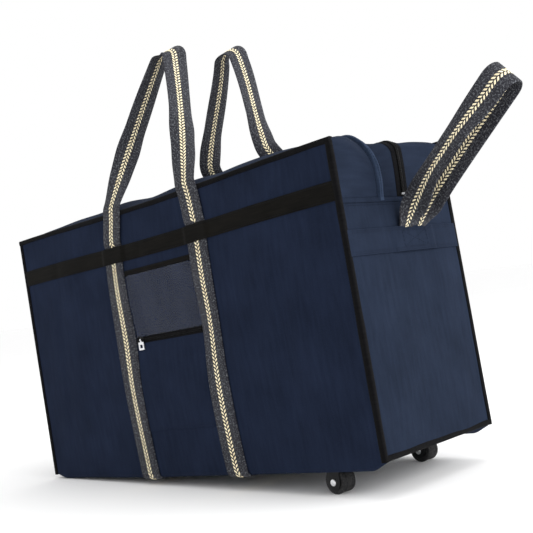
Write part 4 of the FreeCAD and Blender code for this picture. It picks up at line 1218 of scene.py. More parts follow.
@dataclass
class Straps:
    """The two striped straps round the bag and the plain bands across it."""

    form: BagForm
    stance: Stance
    lift: float = 0.25

    def build(self) -> None:
        """Makes both straps and both bands."""
        for hand in ("left", "right"):
            self.strap(hand)
        for face, side in (("front", -1), ("rear", 1)):
            self.band(face, side)

    def strap(self, hand: str) -> None:
        """One strap, up the front, under the bag and up its back."""
        form = self.form
        low, high = self.stance.level_box(f"front_strap_{hand}")
        middle = (low[0] + high[0]) / 2
        reach = form.way_up(high[2] - 3)

        def surface(u: np.ndarray, v: np.ndarray, lift: np.ndarray) -> np.ndarray:
            return form.girth(middle + u, v, lift)

        name = f"strap_{hand}"
        piece = StripedWebbing(name, self.stance, surface, (-reach, reach), base=self.lift,
                               both_faces=False, step=4.0).build()
        seat(piece, "bag", "striped_webbing", f"front_strap_{hand}", f"rear_strap_{hand}",
             f"under_strap_{hand}")
        thread = Stitching(f"{name}_stitching", self.stance, width=0.5)
        for edge in (-17.6, 17.6):
            for way in (-1, 1):
                thread.row(surface, (edge, way * (reach - 1)), (edge, way * (form.half_base + 12)),
                           2.5 + self.lift)
        seat(thread.build(), "bag", "striped_webbing")

    def band(self, face: str, side: int) -> None:
        """The plain band that is sewn across a panel, over the straps."""
        form = self.form
        low, high = self.stance.level_box(f"{face}_band")
        strap_low, strap_high = self.stance.level_box("front_strap_right")

        def surface(u: np.ndarray, v: np.ndarray, lift: np.ndarray) -> np.ndarray:
            over = np.abs(np.abs(u) - (strap_low[0] + strap_high[0]) / 2) - 20.0
            step = 2.75 * ease(1 - over / 9.0)
            return form.wall(side, u, v, lift + step)

        u = spaced(-form.inner_x - 1, form.inner_x + 1, 3.0)
        v = np.array([low[2], low[2] + 0.7, low[2] + 8, low[2] + 17, high[2] - 0.7, high[2]])
        piece = Slab(f"{face}_cross_band", surface, u, v, 1.5, 0.1, soften=0.5).build(self.stance)
        dress(piece, finish(Finish.BAND))
        seat(piece, "bag", "black_webbing", f"{face}_band")
        thread = Stitching(f"{face}_band_stitching", self.stance, width=0.5)
        for z in (low[2] + 2.2, high[2] - 2.2):
            thread.row(surface, (-form.inner_x + 6, z), (form.inner_x - 6, z), 1.6)
        seat(thread.build(), "bag", "black_webbing")


@dataclass
class CarryHandle:
    """A striped carry handle, folded over at its top, whose feet are sewn in under the cross band."""

    form: BagForm
    stance: Stance
    face: str
    side: int
    lean: float
    narrowing: float
    dip: float = 0.0
    fold: float = 20.0
    tilt: float = math.radians(21)
    turn_height: float = 120.0
    cupping: float = 0.14
    cant: float = 0.5

    def depth(self, z: np.ndarray, foot: float, apex: float) -> np.ndarray:
        """How far out the strap stands from the bag's middle plane, at heights up to its apex."""
        foot_y = self.form.face_y + 5.55
        edge_y = self.form.half_width + 1.55
        edge_z = self.form.height + 3
        low = foot_y + (edge_y - foot_y) * ease((z - foot) / (self.form.height - 9 - foot))
        if self.side < 0:
            high = edge_y - self.lean * (z - edge_z) / (apex - edge_z)
        else:
            back = (self.dip - self.lean) * ease((z - edge_z - 60) / 170)
            high = edge_y - self.dip * ease((z - edge_z) / 65) + back
        return np.where(z <= edge_z, low, high)

    def track(self) -> Track:
        """The handle's path from one foot up over its top, where it stands edge-on, to the other."""
        low, high = self.stance.level_box(f"{self.face}_handle")
        foot, apex = low[2], high[2] - 1.25
        strap_low, strap_high = self.stance.level_box("front_strap_right")
        half = (strap_low[0] + strap_high[0]) / 2
        leg_top = apex - self.fold * (1 - math.sin(self.tilt))
        leg_x = self.fold * math.cos(self.tilt)
        share = np.linspace(0, 1, 61)
        leg = np.stack([half - (half - leg_x) * share ** self.narrowing, foot + (leg_top - foot) * share], 1)
        angle = np.linspace(self.tilt, math.pi - self.tilt, 21)[1:-1]
        turn = np.stack([-self.fold * np.cos(angle), apex - self.fold * (1 - np.sin(angle))], 1)
        outline = np.concatenate([leg * (-1, 1), turn, leg[::-1]])
        depth = self.depth(outline[:, 1], foot, apex)
        path = np.stack([outline[:, 0], self.side * depth, outline[:, 1]], 1)
        tuck = np.array([[-half, self.side * (self.form.face_y + 2.6), foot - 5.5]])
        path = np.concatenate([tuck, path, tuck * (-1, 1, 1)])
        twist = math.pi / 2 * ease((path[:, 2] - self.form.height - 3) / self.turn_height)
        # At its top the webbing is canted, with its back edge higher than its front one.
        cant = self.cant * ease((path[:, 2] - leg_top + 90.0) / 100.0)
        across = np.stack([np.cos(twist), np.sin(twist), cant], 1)
        return Track(path, across, 1 - self.cupping * np.sin(2 * twist) ** 2)

    def build(self) -> None:
        """Makes the handle and hides the CAD node that it stands for."""
        track = self.track()
        piece = StripedWebbing(f"{self.face}_carry_webbing", self.stance, track.surface, (0.0, track.length),
                               base=-1.25, step=4.0).build()
        foot = self.stance.level_box(f"{self.face}_handle")[0][2]
        start, end = self.stance.place(np.array([[0, 0, foot + 1], [0, 0, foot + 17]]))
        tuple(start)
        tuple(end)
        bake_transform(piece)
        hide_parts(f"{self.face}_handle")
        LOG.info("%s: %d faces", piece.name, len(piece.data.polygons))


@dataclass
class PullLoop:
    """The striped loop that tows the bag, standing out of the folded band on the wheeled end."""

    form: BagForm
    stance: Stance
    reach: float = 240.0
    gap: float = 17.0
    shift: float = 12.0
    foot_gap: float = 14.6
    gather: float = 0.36

    def track(self) -> Track:
        """The loop's path out of its band, round the fold and back."""
        x, z = self.form.face_x + 5.65, self.stance.level_box("right_end_band")[1][2] - 1
        x, z = x - 1.0, z - 7.0
        steps = 60
        step = (self.reach - self.gap) / steps
        rail, tilt, runs = [], [], []
        for k in range(steps + 1):
            rise = math.radians(39 + 28 * math.exp(-k * step / 28))
            rail.append((x, z))
            tilt.append(rise)
            runs.append(k * step)
            x += step * math.cos(rise)
            z += step * math.sin(rise)
        centres, acrosses, narrow = [], [], []

        def station(place: tuple[float, float], rise: float, run: float, turn: float) -> None:
            axis = np.array([math.cos(rise), 0, math.sin(rise)])
            cross = np.array([math.sin(rise), 0, -math.cos(rise)])
            # The front strand turns further in its middle and bows out there.
            bow = (1 + math.cos(turn)) / 2 * float(ease((run - 40) / 60) * (1 - ease((run - 140) / 80)))
            twist = math.pi / 2 * float(ease(run / 55)) + math.radians(24) * bow
            foot = 1 - float(ease(run / 60))
            apart = self.gap + (self.foot_gap - self.gap) * foot + 8 * bow
            narrow.append(1 - self.gather * foot)
            tuck = 3.4 * (1 - float(ease(run / 16)))
            centre = np.array([place[0] - tuck, self.shift - apart * math.cos(turn), place[1]])
            centres.append(centre + axis * (self.gap * math.sin(turn)))
            acrosses.append(np.array([0, 1, 0]) * math.cos(twist) + cross * math.sin(twist))

        for place, rise, run in zip(rail, tilt, runs):
            station(place, rise, run, 0.0)
        for k in range(1, 16):
            station(rail[-1], tilt[-1], runs[-1], math.pi * k / 16)
        for place, rise, run in list(zip(rail, tilt, runs))[::-1]:
            station(place, rise, run, math.pi)
        return Track(np.array(centres), np.array(acrosses), np.array(narrow))

    def build(self) -> None:
        """Makes the loop and hides the CAD node that it stands for."""
        track = self.track()
        piece = StripedWebbing("pull_loop_webbing", self.stance, track.surface, (0.0, track.length),
                               base=-1.25, step=4.0).build()
        x, z = self.form.face_x + 5.65, self.stance.level_box("right_end_band")[1][2]
        rise = math.radians(60)
        start, end = self.stance.place(np.array([
            [x, 0, z], [x + 16 * math.cos(rise), 0, z + 16 * math.sin(rise)]]))
        tuple(start)
        tuple(end)
        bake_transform(piece)
        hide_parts("pull_loop")
        LOG.info("%s: %d faces", piece.name, len(piece.data.polygons))


@dataclass
class EndBand:
    """The folded canvas band on the wheeled end, with its seams and boxed cross of stitches."""

    form: BagForm
    stance: Stance

    def build(self) -> None:
        """Makes the band, the tail of the loop under it and the rows of stitches."""
        form = self.form
        low, high = self.stance.level_box("right_end_band")
        tail_low, tail_high = self.stance.level_box("pull_loop_anchor")
        middle = (tail_low[1] + tail_high[1]) / 2
        reach = (tail_high[1] - tail_low[1]) / 2

        def plain(u: np.ndarray, v: np.ndarray, lift: np.ndarray) -> np.ndarray:
            return form.end(1, u, v, lift)

        def raised(u: np.ndarray, v: np.ndarray, lift: np.ndarray) -> np.ndarray:
            over = ease(1 - (np.abs(u - middle) - reach) / 7.0)
            return form.end(1, u, v, lift + 2.4 * over)

        half = form.half_width - form.binding + 1
        v = np.array([low[2], low[2] + 0.8, low[2] + 10, low[2] + 20, high[2] - 0.8, high[2]])
        band = Slab("right_end_fold_band", raised, spaced(-half, half, 4.0), v, 2.0, 0.1, soften=0.5)
        piece = dress(band.build(self.stance), finish(Finish.GUSSET))
        seat(piece, "bag", "navy_canvas", "right_end_band")
        tail = Slab("pull_loop_tail", plain, spaced(tail_low[1], tail_high[1], 5.0, 0.8),
                    spaced(tail_low[2], tail_high[2], 5.0, 0.8), 2.1, 0.1, soften=0.5)
        piece = dress(tail.build(self.stance), finish(Finish.WEBBING))
        seat(piece, "bag", "striped_webbing", "pull_loop_anchor")
        for side, hand in ((1, "right"), (-1, "left")):
            hem = Slab(f"{hand}_gusset_hem", lambda u, v, lift, way=side: form.end(way, u, v, lift),
                       spaced(-half, half, 6.0), np.array([-1.5, -1.0, 1.5, 4.0, 4.5]) + form.seam_z, 1.3,
                       0.1, soften=0.5)
            seat(dress(hem.build(self.stance), finish(Finish.GUSSET)), "bag", "navy_canvas")
        thread = Stitching("end_panel_stitching", self.stance, width=0.6)
        for z in (low[2] + 2.0, low[2] + 4.6, high[2] - 2.0, high[2] - 4.6):
            thread.row(raised, (-half + 8, z), (half - 8, z), 2.1)
        for side in (1, -1):
            for z in (form.seam_z - 2.0, form.seam_z - 5.0):
                thread.row(lambda u, v, lift, way=side: form.end(way, u, v, lift),
                           (-half + 8, z), (half - 8, z), 0.05)
        corners = [(middle - 26, low[2] + 6), (middle + 26, low[2] + 6), (middle + 26, high[2] - 6),
                   (middle - 26, high[2] - 6)]
        for k in range(4):
            thread.row(raised, corners[k], corners[(k + 1) % 4], 2.1)
        thread.row(raised, corners[0], corners[2], 2.1)
        thread.row(raised, corners[1], corners[3], 2.1)
        seat(thread.build(), "bag", "navy_canvas")


@dataclass
class FrontPocket:
    """The zipped pocket between the straps, with its clear window."""

    form: BagForm
    stance: Stance

    def surface(self, u: np.ndarray, v: np.ndarray, lift: np.ndarray) -> np.ndarray:
        """The front panel, as the pocket lies on it."""
        return self.form.wall(-1, u, v, lift)

    def strip(self, name: str, node: str, kind: Finish, slot: str, thick: float, cell: float,
              base: float = 0.1, crown: Callable | None = None) -> bpy.types.Object:
        """One layer of the pocket, which takes its outline from its CAD node."""
        low, high = self.stance.level_box(node)
        slab = Slab(name, self.surface, spaced(low[0] + 0.2, high[0] - 0.2, cell, 0.6),
                    spaced(low[2], high[2], min(cell, (high[2] - low[2]) / 3), 0.6), thick, base,
                    soften=min(0.4, thick / 2), crown=crown)
        piece = dress(slab.build(self.stance), finish(kind))
        return seat(piece, "bag", slot, node)

    def build(self) -> None:
        """Makes the pocket's cloth, window, tapes and zip."""
        low, high = self.stance.level_box("pocket_cloth")
        ripple = Ripple(71, 30, 120)

        def slack(u: np.ndarray, v: np.ndarray) -> np.ndarray:
            inside = np.clip(1 - (u / high[0]) ** 2, 0, 1) * np.clip((v - low[2]) / 50, 0, 1)
            return inside * np.clip((high[2] - v) / 14, 0, 1) * (1.6 + 0.8 * ripple.at(u, v))

        cloth = self.strip("pocket_canvas", "pocket_cloth", Finish.PANEL, "navy_canvas", 1.0, 5.0,
                           crown=slack)
        glass_low, glass_high = self.stance.level_box("pocket_window")
        folds = Ripple(83, 18, 70)

        def sheen_folds(u: np.ndarray, v: np.ndarray) -> np.ndarray:
            inside = np.clip(1 - (u / glass_high[0]) ** 2, 0, 1)
            inside = inside * np.clip((v - glass_low[2]) / 12, 0, 1)
            inside = inside * np.clip((glass_high[2] - v) / 12, 0, 1)
            return inside * (0.9 + 0.55 * folds.at(u, v * 0.35))

        window = self.strip("pocket_window_film", "pocket_window", Finish.VINYL, "clear_vinyl", 0.5, 3.0,
                            0.3, sheen_folds)
        self.strip("window_edge_tape", "window_tape", Finish.BAND, "black_webbing", 1.2, 4.0)
        self.strip("pocket_zip_tape", "pocket_zip", Finish.ZIP_TAPE, "zip_tape", 0.9, 4.0)
        zip_low, zip_high = self.stance.level_box("pocket_zip")
        rail = self.stance.level_box("pocket_slider")
        middle = (rail[0][2] + rail[1][2]) / 2
        rows = ZipCoil("pocket_zip_coil", self.stance, lambda v, u, lift: self.surface(v, middle + u, lift),
                       (zip_low[0] + 3, zip_high[0] - 3), 1.5, 1.1, 0.9, 1.4)
        seat(dress(rows.build((-1, 1)), finish(Finish.COIL)), "bag", "zip_tape")
        thread = Stitching("pocket_stitching", self.stance, width=0.5)
        tape_low, tape_high = self.stance.level_box("window_tape")
        edge = high[0] - 3
        for z, lift in ((tape_low[2] + 1.6, 1.3), (tape_high[2] - 1.6, 1.3), (zip_low[2] + 1.4, 1.0),
                        (zip_high[2] - 1.4, 1.0), (low[2] + 3, 1.1), (low[2] + 6, 1.1)):
            thread.row(self.surface, (-edge, z), (edge, z), lift)
        seat(thread.build(), "bag", "navy_canvas")


@dataclass
class ZipCoil:
    """Two rows of nylon coil: each turn a small hoop that reaches past the middle between its neighbours."""

    name: str
    stance: Stance
    surface: Surface
    run: tuple[float, float]
    reach: float
    pitch: float
    base: float
    height: float

    def build(self, sides: tuple[int, ...]) -> bpy.types.Object:
        """Makes the rows.

        Args:
            sides: which rows to make, -1 and 1.

        Returns:
            The piece.
        """
        number = int(abs(self.run[1] - self.run[0]) / self.pitch)
        step = (self.run[1] - self.run[0]) / number
        points, faces, count = [], [], 0
        section = np.array([(0.0, 0.0), (0.15, 0.75), (0.45, 1.0), (0.85, 0.85), (1.0, 0.4), (0.92, 0.0)])
        for side in sides:
            centre = self.run[0] + (np.arange(number) + (0.25 if side < 0 else 0.75)) * step
            half = abs(step) * 0.36
            for shift in (-half, half):
                grid_v = np.repeat(centre[:, None] + shift, len(section), 1)
                grid_u = np.tile(side * (0.1 + section[:, 0] * self.reach), (number, 1))
                lift = np.tile(self.base + section[:, 1] * self.height, (number, 1))
                points.append(self.surface(grid_v, grid_u, lift))
            block = np.concatenate([points[-2], points[-1]], 1).reshape(-1, 3)
            points = points[:-2] + [block]
            size = len(section)
            quads = [[k, k + 1, k + 1 + size, k + size] for k in range(size - 1)]
            caps = [[0, 1, 2, 3], [0, 3, 4, 5]]
            cell = np.array(quads + [[size - 1, 0, size, 2 * size - 1]] + [c[::-1] for c in caps]
                            + [[a + size for a in c] for c in caps])
            if signed_volume(block[:2 * size] - block[:2 * size].mean(0), cell) < 0:
                cell = cell[:, ::-1]
            offsets = count + np.arange(number) * 2 * size
            faces.append((cell[None] + offsets[:, None, None]).reshape(-1, 4))
            count += number * 2 * size
        obj = new_object(self.name, self.stance.place(np.concatenate(points)), np.concatenate(faces))
        obj.data.uv_layers.new(name="cloth_mm")
        return shade(obj, 50)


@dataclass
class ZippedTop:
    """The top cloth: two flaps along the zip that run on over both ends, the front one with a raised fold."""

    form: BagForm
    stance: Stance
    cloth: float = 1.6

    def build(self) -> None:
        """Makes the top in four quarters, and the stops on the zip's ends."""
        for face, side in (("front", -1), ("rear", 1)):
            for hand, way in (("right", 1), ("left", -1)):
                self.quarter(face, side, hand, way)
        self.stops()

    def hitch(self, piece: bpy.types.Object, face: str, way: int, slot: str, *nodes: str) -> None:
        """Bakes a quarter's transform into its mesh, hides the CAD nodes that it stands for and reports it.
        """
        form = self.form
        start, end = self.stance.place(np.array([[way * (form.flap_x + 2), 0, form.top_z],
                                                 [way * (form.flap_x - 78), 0, form.top_z]]))
        tuple(start)
        tuple(end)
        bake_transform(piece)
        if nodes:
            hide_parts(*nodes)
        LOG.info("%s: %d faces", piece.name, len(piece.data.polygons))

    def quarter(self, face: str, side: int, hand: str, way: int) -> None:
        """One quarter of the top, with its share of the zip."""
        form = self.form
        edge = form.half_width - form.binding + 1.0
        seam = form.zip_y + side * 3.2
        y = spaced(seam, side * edge, 5.0)
        reach = form.roof_reach
        s = way * np.concatenate([spaced(0, form.flap_x - 20, 6.0),
                                  spaced(form.flap_x - 20, reach, 3.0)[1:]])
        slab = Slab(f"top_{face}_{hand}", form.roof, s, y, self.cloth, -self.cloth).build(self.stance)
        dress(slab, finish(Finish.GUSSET))
        gusset = f"{hand}_gusset_{face}"
        nodes = (gusset, f"top_{face}_flap") if way > 0 else (gusset,)
        self.hitch(slab, face, way, "navy_canvas", *nodes)
        tape_s = way * np.concatenate([spaced(0, form.flap_x - 20, 8.0),
                                       spaced(form.flap_x - 20, reach - 5.0, 3.0)[1:]])
        tape_y = np.array([form.zip_y + side * d for d in (0.15, 0.8, 6.0, 11.6, 12.3)])
        tape = Slab(f"zip_tape_{face}_{hand}", form.roof, tape_s, tape_y, 0.7, 0.05, soften=0.25)
        tape = dress(tape.build(self.stance), finish(Finish.ZIP_TAPE))
        nodes = (f"{face}_zip_tape", f"{hand}_zip_end") if way > 0 else (f"{hand}_zip_end",)
        self.hitch(tape, face, way, "zip_tape", *nodes)
        coil = ZipCoil(f"zip_coil_{face}_{hand}", self.stance,
                       lambda v, u, lift: form.roof(v, form.zip_y + u, lift),
                       (0.0, way * (reach - 10.0)), 2.7, 1.6, 0.75, 2.0).build((side,))
        dress(coil, finish(Finish.COIL))
        self.hitch(coil, face, way, "zip_tape", *((f"{face}_zip_coil",) if way > 0 else ()))
        thread = Stitching(f"zip_stitching_{face}_{hand}", self.stance, width=0.5)
        for offset in (6.5, 10.6):
            line = form.zip_y + side * offset
            thread.row(form.roof, (0.0, line), (way * (reach - 12), line), 0.75)
        if side < 0:
            self.ridge(face, hand, way)
            for offset in (-7.6, 7.2):
                thread.row(form.roof, (0.0, form.ridge_y + offset),
                           (way * (reach - 4), form.ridge_y + offset), 0.05)
        self.hitch(thread.build(), face, way, "zip_tape")

    def ridge(self, face: str, hand: str, way: int) -> None:
        """The raised fold that runs along the front flap and down over the end."""
        form = self.form
        section = ((-5.4, 0.4), (-5.8, 2.2), (-4.8, 4.2), (-2.6, 5.3), (0.4, 5.2), (3.0, 3.9), (4.8, 2.0),
                   (5.9, 0.3))

        def surface(u: np.ndarray, v: np.ndarray, lift: np.ndarray) -> np.ndarray:
            return form.roof(u, form.ridge_y + v, lift)

        s = way * np.concatenate([spaced(0, form.flap_x - 20, 7.0),
                                  spaced(form.flap_x - 20, form.roof_reach, 3.0)[1:]])
        across = np.array([p[0] for p in section])
        heights = np.array([p[1] for p in section])

        def crown(u: np.ndarray, v: np.ndarray) -> np.ndarray:
            nearest = np.abs(v[..., None] - across).argmin(-1)
            uneven = 1.0 + 0.12 * np.sin(u / 23.0) + 0.08 * np.sin(u / 9.0 + v)
            return heights[nearest] * uneven - 0.1

        across = np.sort(across)
        heights = np.array([dict(section)[a] for a in across])
        piece = Slab(f"top_fold_{hand}", surface, s, across, 0.1, 0.0, crown=crown).build(self.stance)
        # The fold's lighter canvas is a painted highlight.
        dress(piece, finish(Finish.RIDGE))
        nodes = ("top_ridge",) if way > 0 else ()
        self.hitch(piece, face, way, "navy_canvas", *nodes)
        thread = Stitching(f"top_fold_stitching_{hand}", self.stance, length=2.2, width=0.6)
        for line, lift in ((-3.4, 5.0), (2.2, 4.4)):
            thread.row(surface, (0.0, line), (way * (form.roof_reach - 4), line), lift)
        self.hitch(thread.build(), face, way, "navy_canvas")

    def stops(self) -> None:
        """The bright stops clamped on the zip's two lower ends."""
        form = self.form
        parts = []
        for side in (1, -1):
            level = form.roof(np.array([side * (form.roof_reach - 8.0)]), np.array([form.zip_y]),
                              np.array([1.6]))[0]
            bpy.ops.mesh.primitive_cube_add(size=1.0, location=Vector(level) * MM)
            stop = bpy.context.object
            stop.scale = (2.6 * MM, 8.0 * MM, 2.8 * MM)
            bpy.ops.object.transform_apply(location=True, rotation=True, scale=True)
            bevelled_edit(stop, 0.7)
            stop.data.transform(self.stance.matrix())
            parts.append(stop)
        piece = join("zip_end_stops", parts)
        dress(shade(piece, 40), finish(Finish.SLIDER))
        seat(piece, "bag", "zip_metal", "zip_stops")


def bevelled_edit(obj: bpy.types.Object, width_mm: float, segments: int = 3) -> None:
    """Rounds every edge of an object in edit mode."""
    select_only(obj)
    bpy.ops.object.mode_set(mode="EDIT")
    bpy.ops.mesh.select_all(action="SELECT")
    bpy.ops.mesh.bevel(offset=width_mm * MM, segments=segments, affect="EDGES")
    bpy.ops.object.mode_set(mode="OBJECT")


@dataclass
class Hardware:
    """Metal and moulded pieces that keep their CAD shape, with their edges broken as by tumbling."""

    stance: Stance

    def softened(self, node: str, name: str, body: str, slot: str, kind: Finish,
                 edge: float) -> bpy.types.Object:
        """A copy of a CAD node with rounded edges.

        Args:
            node: the CAD node to follow and stand for.
            name: the new piece's name.
            body: the body that it rides on.
            slot: the record's material slot; not used.
            kind: its finish.
            edge: radius of its edges, in millimetres.

        Returns:
            The piece.
        """
        copy = bpy.data.objects.new(name, frame["nodes"][node].data.copy())
        bpy.context.scene.collection.objects.link(copy)
        select_only(copy)
        bpy.ops.object.mode_set(mode="EDIT")
        bpy.ops.mesh.select_all(action="SELECT")
        bpy.ops.mesh.remove_doubles(threshold=1e-6)
        bpy.ops.mesh.dissolve_limited(angle_limit=math.radians(1.5))
        bpy.ops.object.mode_set(mode="OBJECT")
        if copy.data.has_custom_normals:
            bpy.ops.mesh.customdata_custom_splitnormals_clear()
        apply_modifier(copy, "BEVEL", width=edge * MM, segments=2, limit_method="ANGLE",
                       angle_limit=math.radians(40), harden_normals=False)
        dress(copy, finish(kind))
        shade(copy, 35)
        return seat(copy, body, slot, node)

    def build(self) -> None:
        """Makes the sliders, pulls, brackets, axles, hubs, rivets and board."""
        self.softened("main_slider", "main_slider_shell", "zip_slider", "zip_metal", Finish.SLIDER, 0.35)
        self.softened("main_pull_tab", "main_pull", "zip_pull", "zip_metal", Finish.SLIDER, 0.3)
        self.softened("pocket_slider", "pocket_slider_shell", "pocket_zip_slider", "zip_metal",
                      Finish.BRACKET, 0.3)
        self.softened("pocket_pull_tab", "pocket_pull", "pocket_zip_pull", "pull_metal", Finish.PULL, 0.45)
        for face in ("front", "rear"):
            self.softened(f"{face}_wheel_bracket", f"{face}_fork", "bag", "black_steel", Finish.BRACKET, 0.3)
            self.softened(f"{face}_axle", f"{face}_axle_rivet", "bag", "bright_steel", Finish.RIVET, 0.5)
            self.softened(f"{face}_hub", f"{face}_hub_core", f"{face}_wheel", "wheel_plastic", Finish.HUB,
                          0.6)
            self.softened(f"{face}_backing_plate", f"{face}_inner_plate", "bag", "black_steel",
                          Finish.BRACKET, 0.3)
        self.softened("bracket_rivets", "bracket_rivet_set", "bag", "bright_steel", Finish.RIVET, 0.5)
        self.softened("base_board", "base_board_sheet", "bag", "fibre_board", Finish.BOARD, 0.8)


@dataclass
class Tyres:
    """Moulded tyres with a row of pits round the tread and knobs along both shoulders."""

    stance: Stance
    pits: int = 22
    knobs: int = 40
    sides: int = 88
    bore_sides: int = 48
    pit_sides: int = 10
    pit_radius: float = 0.95
    pit_depth: float = 2.6
    # Share of the tread's width from its middle to a row of pits.
    pit_lane: float = 0.24
    knob_sunk: float = 0.15
    knob_inset: float = 1.9

    def build(self) -> None:
        """Makes both tyres."""
        for face in ("front", "rear"):
            self.tyre(face)

    def tyre(self, face: str) -> None:
        """One tyre, cut and studded round its axle."""
        low, high = self.stance.level_box(f"{face}_tyre")
        hub_low, hub_high = self.stance.level_box(f"{face}_hub")
        middle = (low + high) / 2
        radius, width = (high[2] - low[2]) / 2 - 0.5, high[1] - low[1]
        bore = (hub_high[2] - hub_low[2]) / 2 + 0.05
        clear_selection()
        bpy.ops.mesh.primitive_cylinder_add(vertices=self.sides, radius=radius * MM, depth=width * MM)
        tyre = bpy.context.object
        bpy.ops.object.mode_set(mode="EDIT")
        bpy.ops.mesh.select_all(action="SELECT")
        bpy.ops.mesh.bevel(offset=1.6 * MM, segments=3, affect="EDGES", clamp_overlap=True)
        bpy.ops.object.mode_set(mode="OBJECT")
        pit = self.rod(self.pit_radius, self.pit_depth)
        cutters = [self.rod(bore, width + 4)]
        step = 2 * math.pi / self.pits
        for k in range(self.pits):
            for lane, shift in ((-self.pit_lane, 0.0), (self.pit_lane, 0.5)):
                turned = (k + shift) * step
                spot = Vector((radius * math.cos(turned), radius * math.sin(turned), lane * width)) * MM
                lie = Euler((0, math.pi / 2, turned)).to_matrix().to_4x4()
                cutters.append(self.copy(pit, Matrix.Translation(spot) @ lie))
        tool = join("pit_tool", cutters)
        apply_modifier(tyre, "BOOLEAN", operation="DIFFERENCE", object=tool, solver="EXACT")
        bpy.data.objects.remove(tool)
        knob = self.knob()
        studs = []
        for k in range(self.knobs):
            turn = Matrix.Rotation(2 * math.pi * (k + 0.5) / self.knobs, 4, "Z")
            for lane in (-1, 1):
                spot = Vector((radius - self.knob_sunk, 0, lane * (width / 2 - self.knob_inset))) * MM
                studs.append(self.copy(knob, turn @ Matrix.Translation(spot)))
        for model in (pit, knob):
            bpy.data.objects.remove(model)
        piece = join(f"{face}_tread", [tyre, *studs])
        turn = Matrix.Rotation(math.pi / 2, 4, "X")
        piece.data.transform(self.stance.matrix() @ Matrix.Translation(Vector(middle) * MM) @ turn)
        dress(shade(piece, 35), finish(Finish.TYRE))
        seat(piece, f"{face}_wheel", "tyre", f"{face}_tyre")

    def rod(self, radius: float, depth: float) -> bpy.types.Object:
        """A cutter about the wheel's axis, in millimetres."""
        clear_selection()
        corners = self.bore_sides if radius > self.pit_radius else self.pit_sides
        bpy.ops.mesh.primitive_cylinder_add(vertices=corners, radius=radius * MM, depth=depth * MM)
        return bpy.context.object

    def copy(self, model: bpy.types.Object, place: Matrix) -> bpy.types.Object:
        """A copy of a modelled piece, with its own mesh, carried to its place."""
        made = model.copy()
        made.data = model.data.copy()
        made.data.transform(place)
        bpy.context.scene.collection.objects.link(made)
        return made

    def knob(self) -> bpy.types.Object:
        """A knob of the shoulder, with its top drawn in."""
        clear_selection()
        bpy.ops.mesh.primitive_cube_add(size=1.0)
        knob = bpy.context.object
        knob.scale = (1.4 * MM, 1.35 * MM, 3.0 * MM)
        bpy.ops.object.transform_apply(location=False, rotation=False, scale=True)
        bpy.ops.object.mode_set(mode="EDIT")
        shell = bmesh.from_edit_mesh(knob.data)
        for corner in shell.verts:
            if corner.co.x > 0:
                corner.co.y *= 0.7
                corner.co.z *= 0.8
        bmesh.update_edit_mesh(knob.data)
        bpy.ops.object.mode_set(mode="OBJECT")
        return knob


# ---------------------------------------------------------------- stage

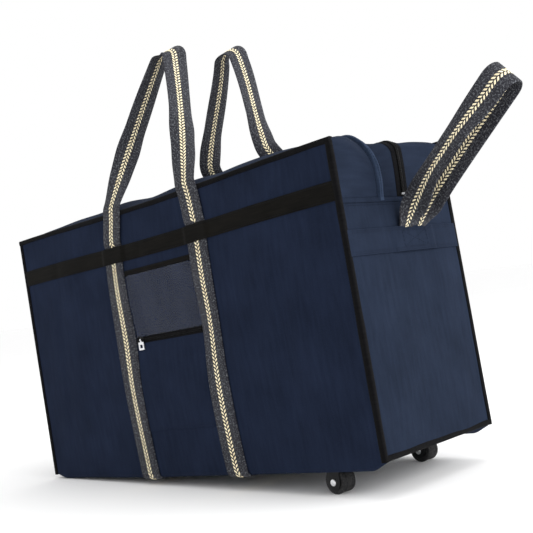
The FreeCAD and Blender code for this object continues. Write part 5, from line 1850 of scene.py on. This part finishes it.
@dataclass(frozen=True)
class Studio:
    """A pale floor, soft light from all round and the camera."""

    stance: Stance
    eye: tuple[float, float, float] = (1066.6, -1041.4, 181.2)
    ahead: tuple[float, float, float] = (-0.68046, 0.72998, 0.06410)
    upward: tuple[float, float, float] = (0.16693, 0.06925, 0.98353)
    lens: float = 64.82

    def build(self) -> None:
        """Makes the floor, the lights and the camera."""
        self.floor()
        self.light("key_light", (2.6, 0.4, 1.3), 2.0, 58.0)
        self.light("fill_light", (-1.6, -2.4, 1.2), 2.4, 3.0)
        self.light("top_light", (0.0, 0.4, 2.8), 2.6, 16.0)
        world = bpy.data.worlds.new("soft_room")
        world.use_nodes = True
        world.node_tree.nodes["Background"].inputs[0].default_value = (1.0, 1.0, 1.0, 1.0)
        world.node_tree.nodes["Background"].inputs[1].default_value = 1.0
        bpy.context.scene.world = world
        bpy.context.scene.view_settings.view_transform = "Standard"
        self.camera()

    def floor(self) -> None:
        """A wide pale floor."""
        clear_selection()
        bpy.ops.mesh.primitive_plane_add(size=60.0)
        floor = bpy.context.object
        floor.name = "floor"
        made = Weave("pale_floor", Roughness=0.9, Specular_IOR_Level=0.1)
        tone = made.noise(400.0, 2.0)
        colour = made.add("Mix", COLOURS, 2, i0=tone, i6=linear("#fcfcfc"), i7=linear("#ffffff"))
        floor.data.materials.append(made.feed(Base_Color=colour))

    def light(self, name: str, place: tuple[float, float, float], size: float, power: float) -> None:
        """One soft area light that faces the bag."""
        data = bpy.data.lights.new(name, "AREA")
        data.shape = "DISK"
        data.size = size
        data.energy = power
        lamp = bpy.data.objects.new(name, data)
        bpy.context.scene.collection.objects.link(lamp)
        lamp.location = place
        aim = Vector((0, 0, 0.3)) - Vector(place)
        lamp.rotation_euler = aim.to_track_quat("-Z", "Y").to_euler()

    def camera(self) -> None:
        """The camera, placed and turned in the bag's level frame."""
        data = bpy.data.cameras.new("camera")
        data.lens = self.lens
        data.sensor_width = 36.0
        data.clip_start = 0.05
        data.clip_end = 60.0
        camera = bpy.data.objects.new("camera", data)
        bpy.context.scene.collection.objects.link(camera)
        spot = Vector(self.stance.place(np.array([self.eye]))[0])
        back = Vector(self.stance.turn @ -np.array(self.ahead)).normalized()
        up = Vector(self.stance.turn @ np.array(self.upward))
        side = up.cross(back).normalized()
        up = back.cross(side)
        camera.matrix_world = Matrix.Translation(spot) @ Matrix((side, up, back)).transposed().to_4x4()
        bpy.context.scene.camera = camera


def main() -> None:
    """Builds the bag's sub-assemblies in order, then the studio."""
    stance = Stance()
    form = BagForm(stance)
    CanvasBody(form, stance).build()
    Bindings(form, stance).build()
    Straps(form, stance).build()
    CarryHandle(form, stance, "front", -1, 90.0, 1.35).build()
    CarryHandle(form, stance, "rear", 1, 26.0, 1.1, 49.0).build()
    EndBand(form, stance).build()
    PullLoop(form, stance).build()
    FrontPocket(form, stance).build()
    ZippedTop(form, stance).build()
    Hardware(stance).build()
    Tyres(stance).build()
    Studio(stance).build()


if __name__ == "__main__":
    main()
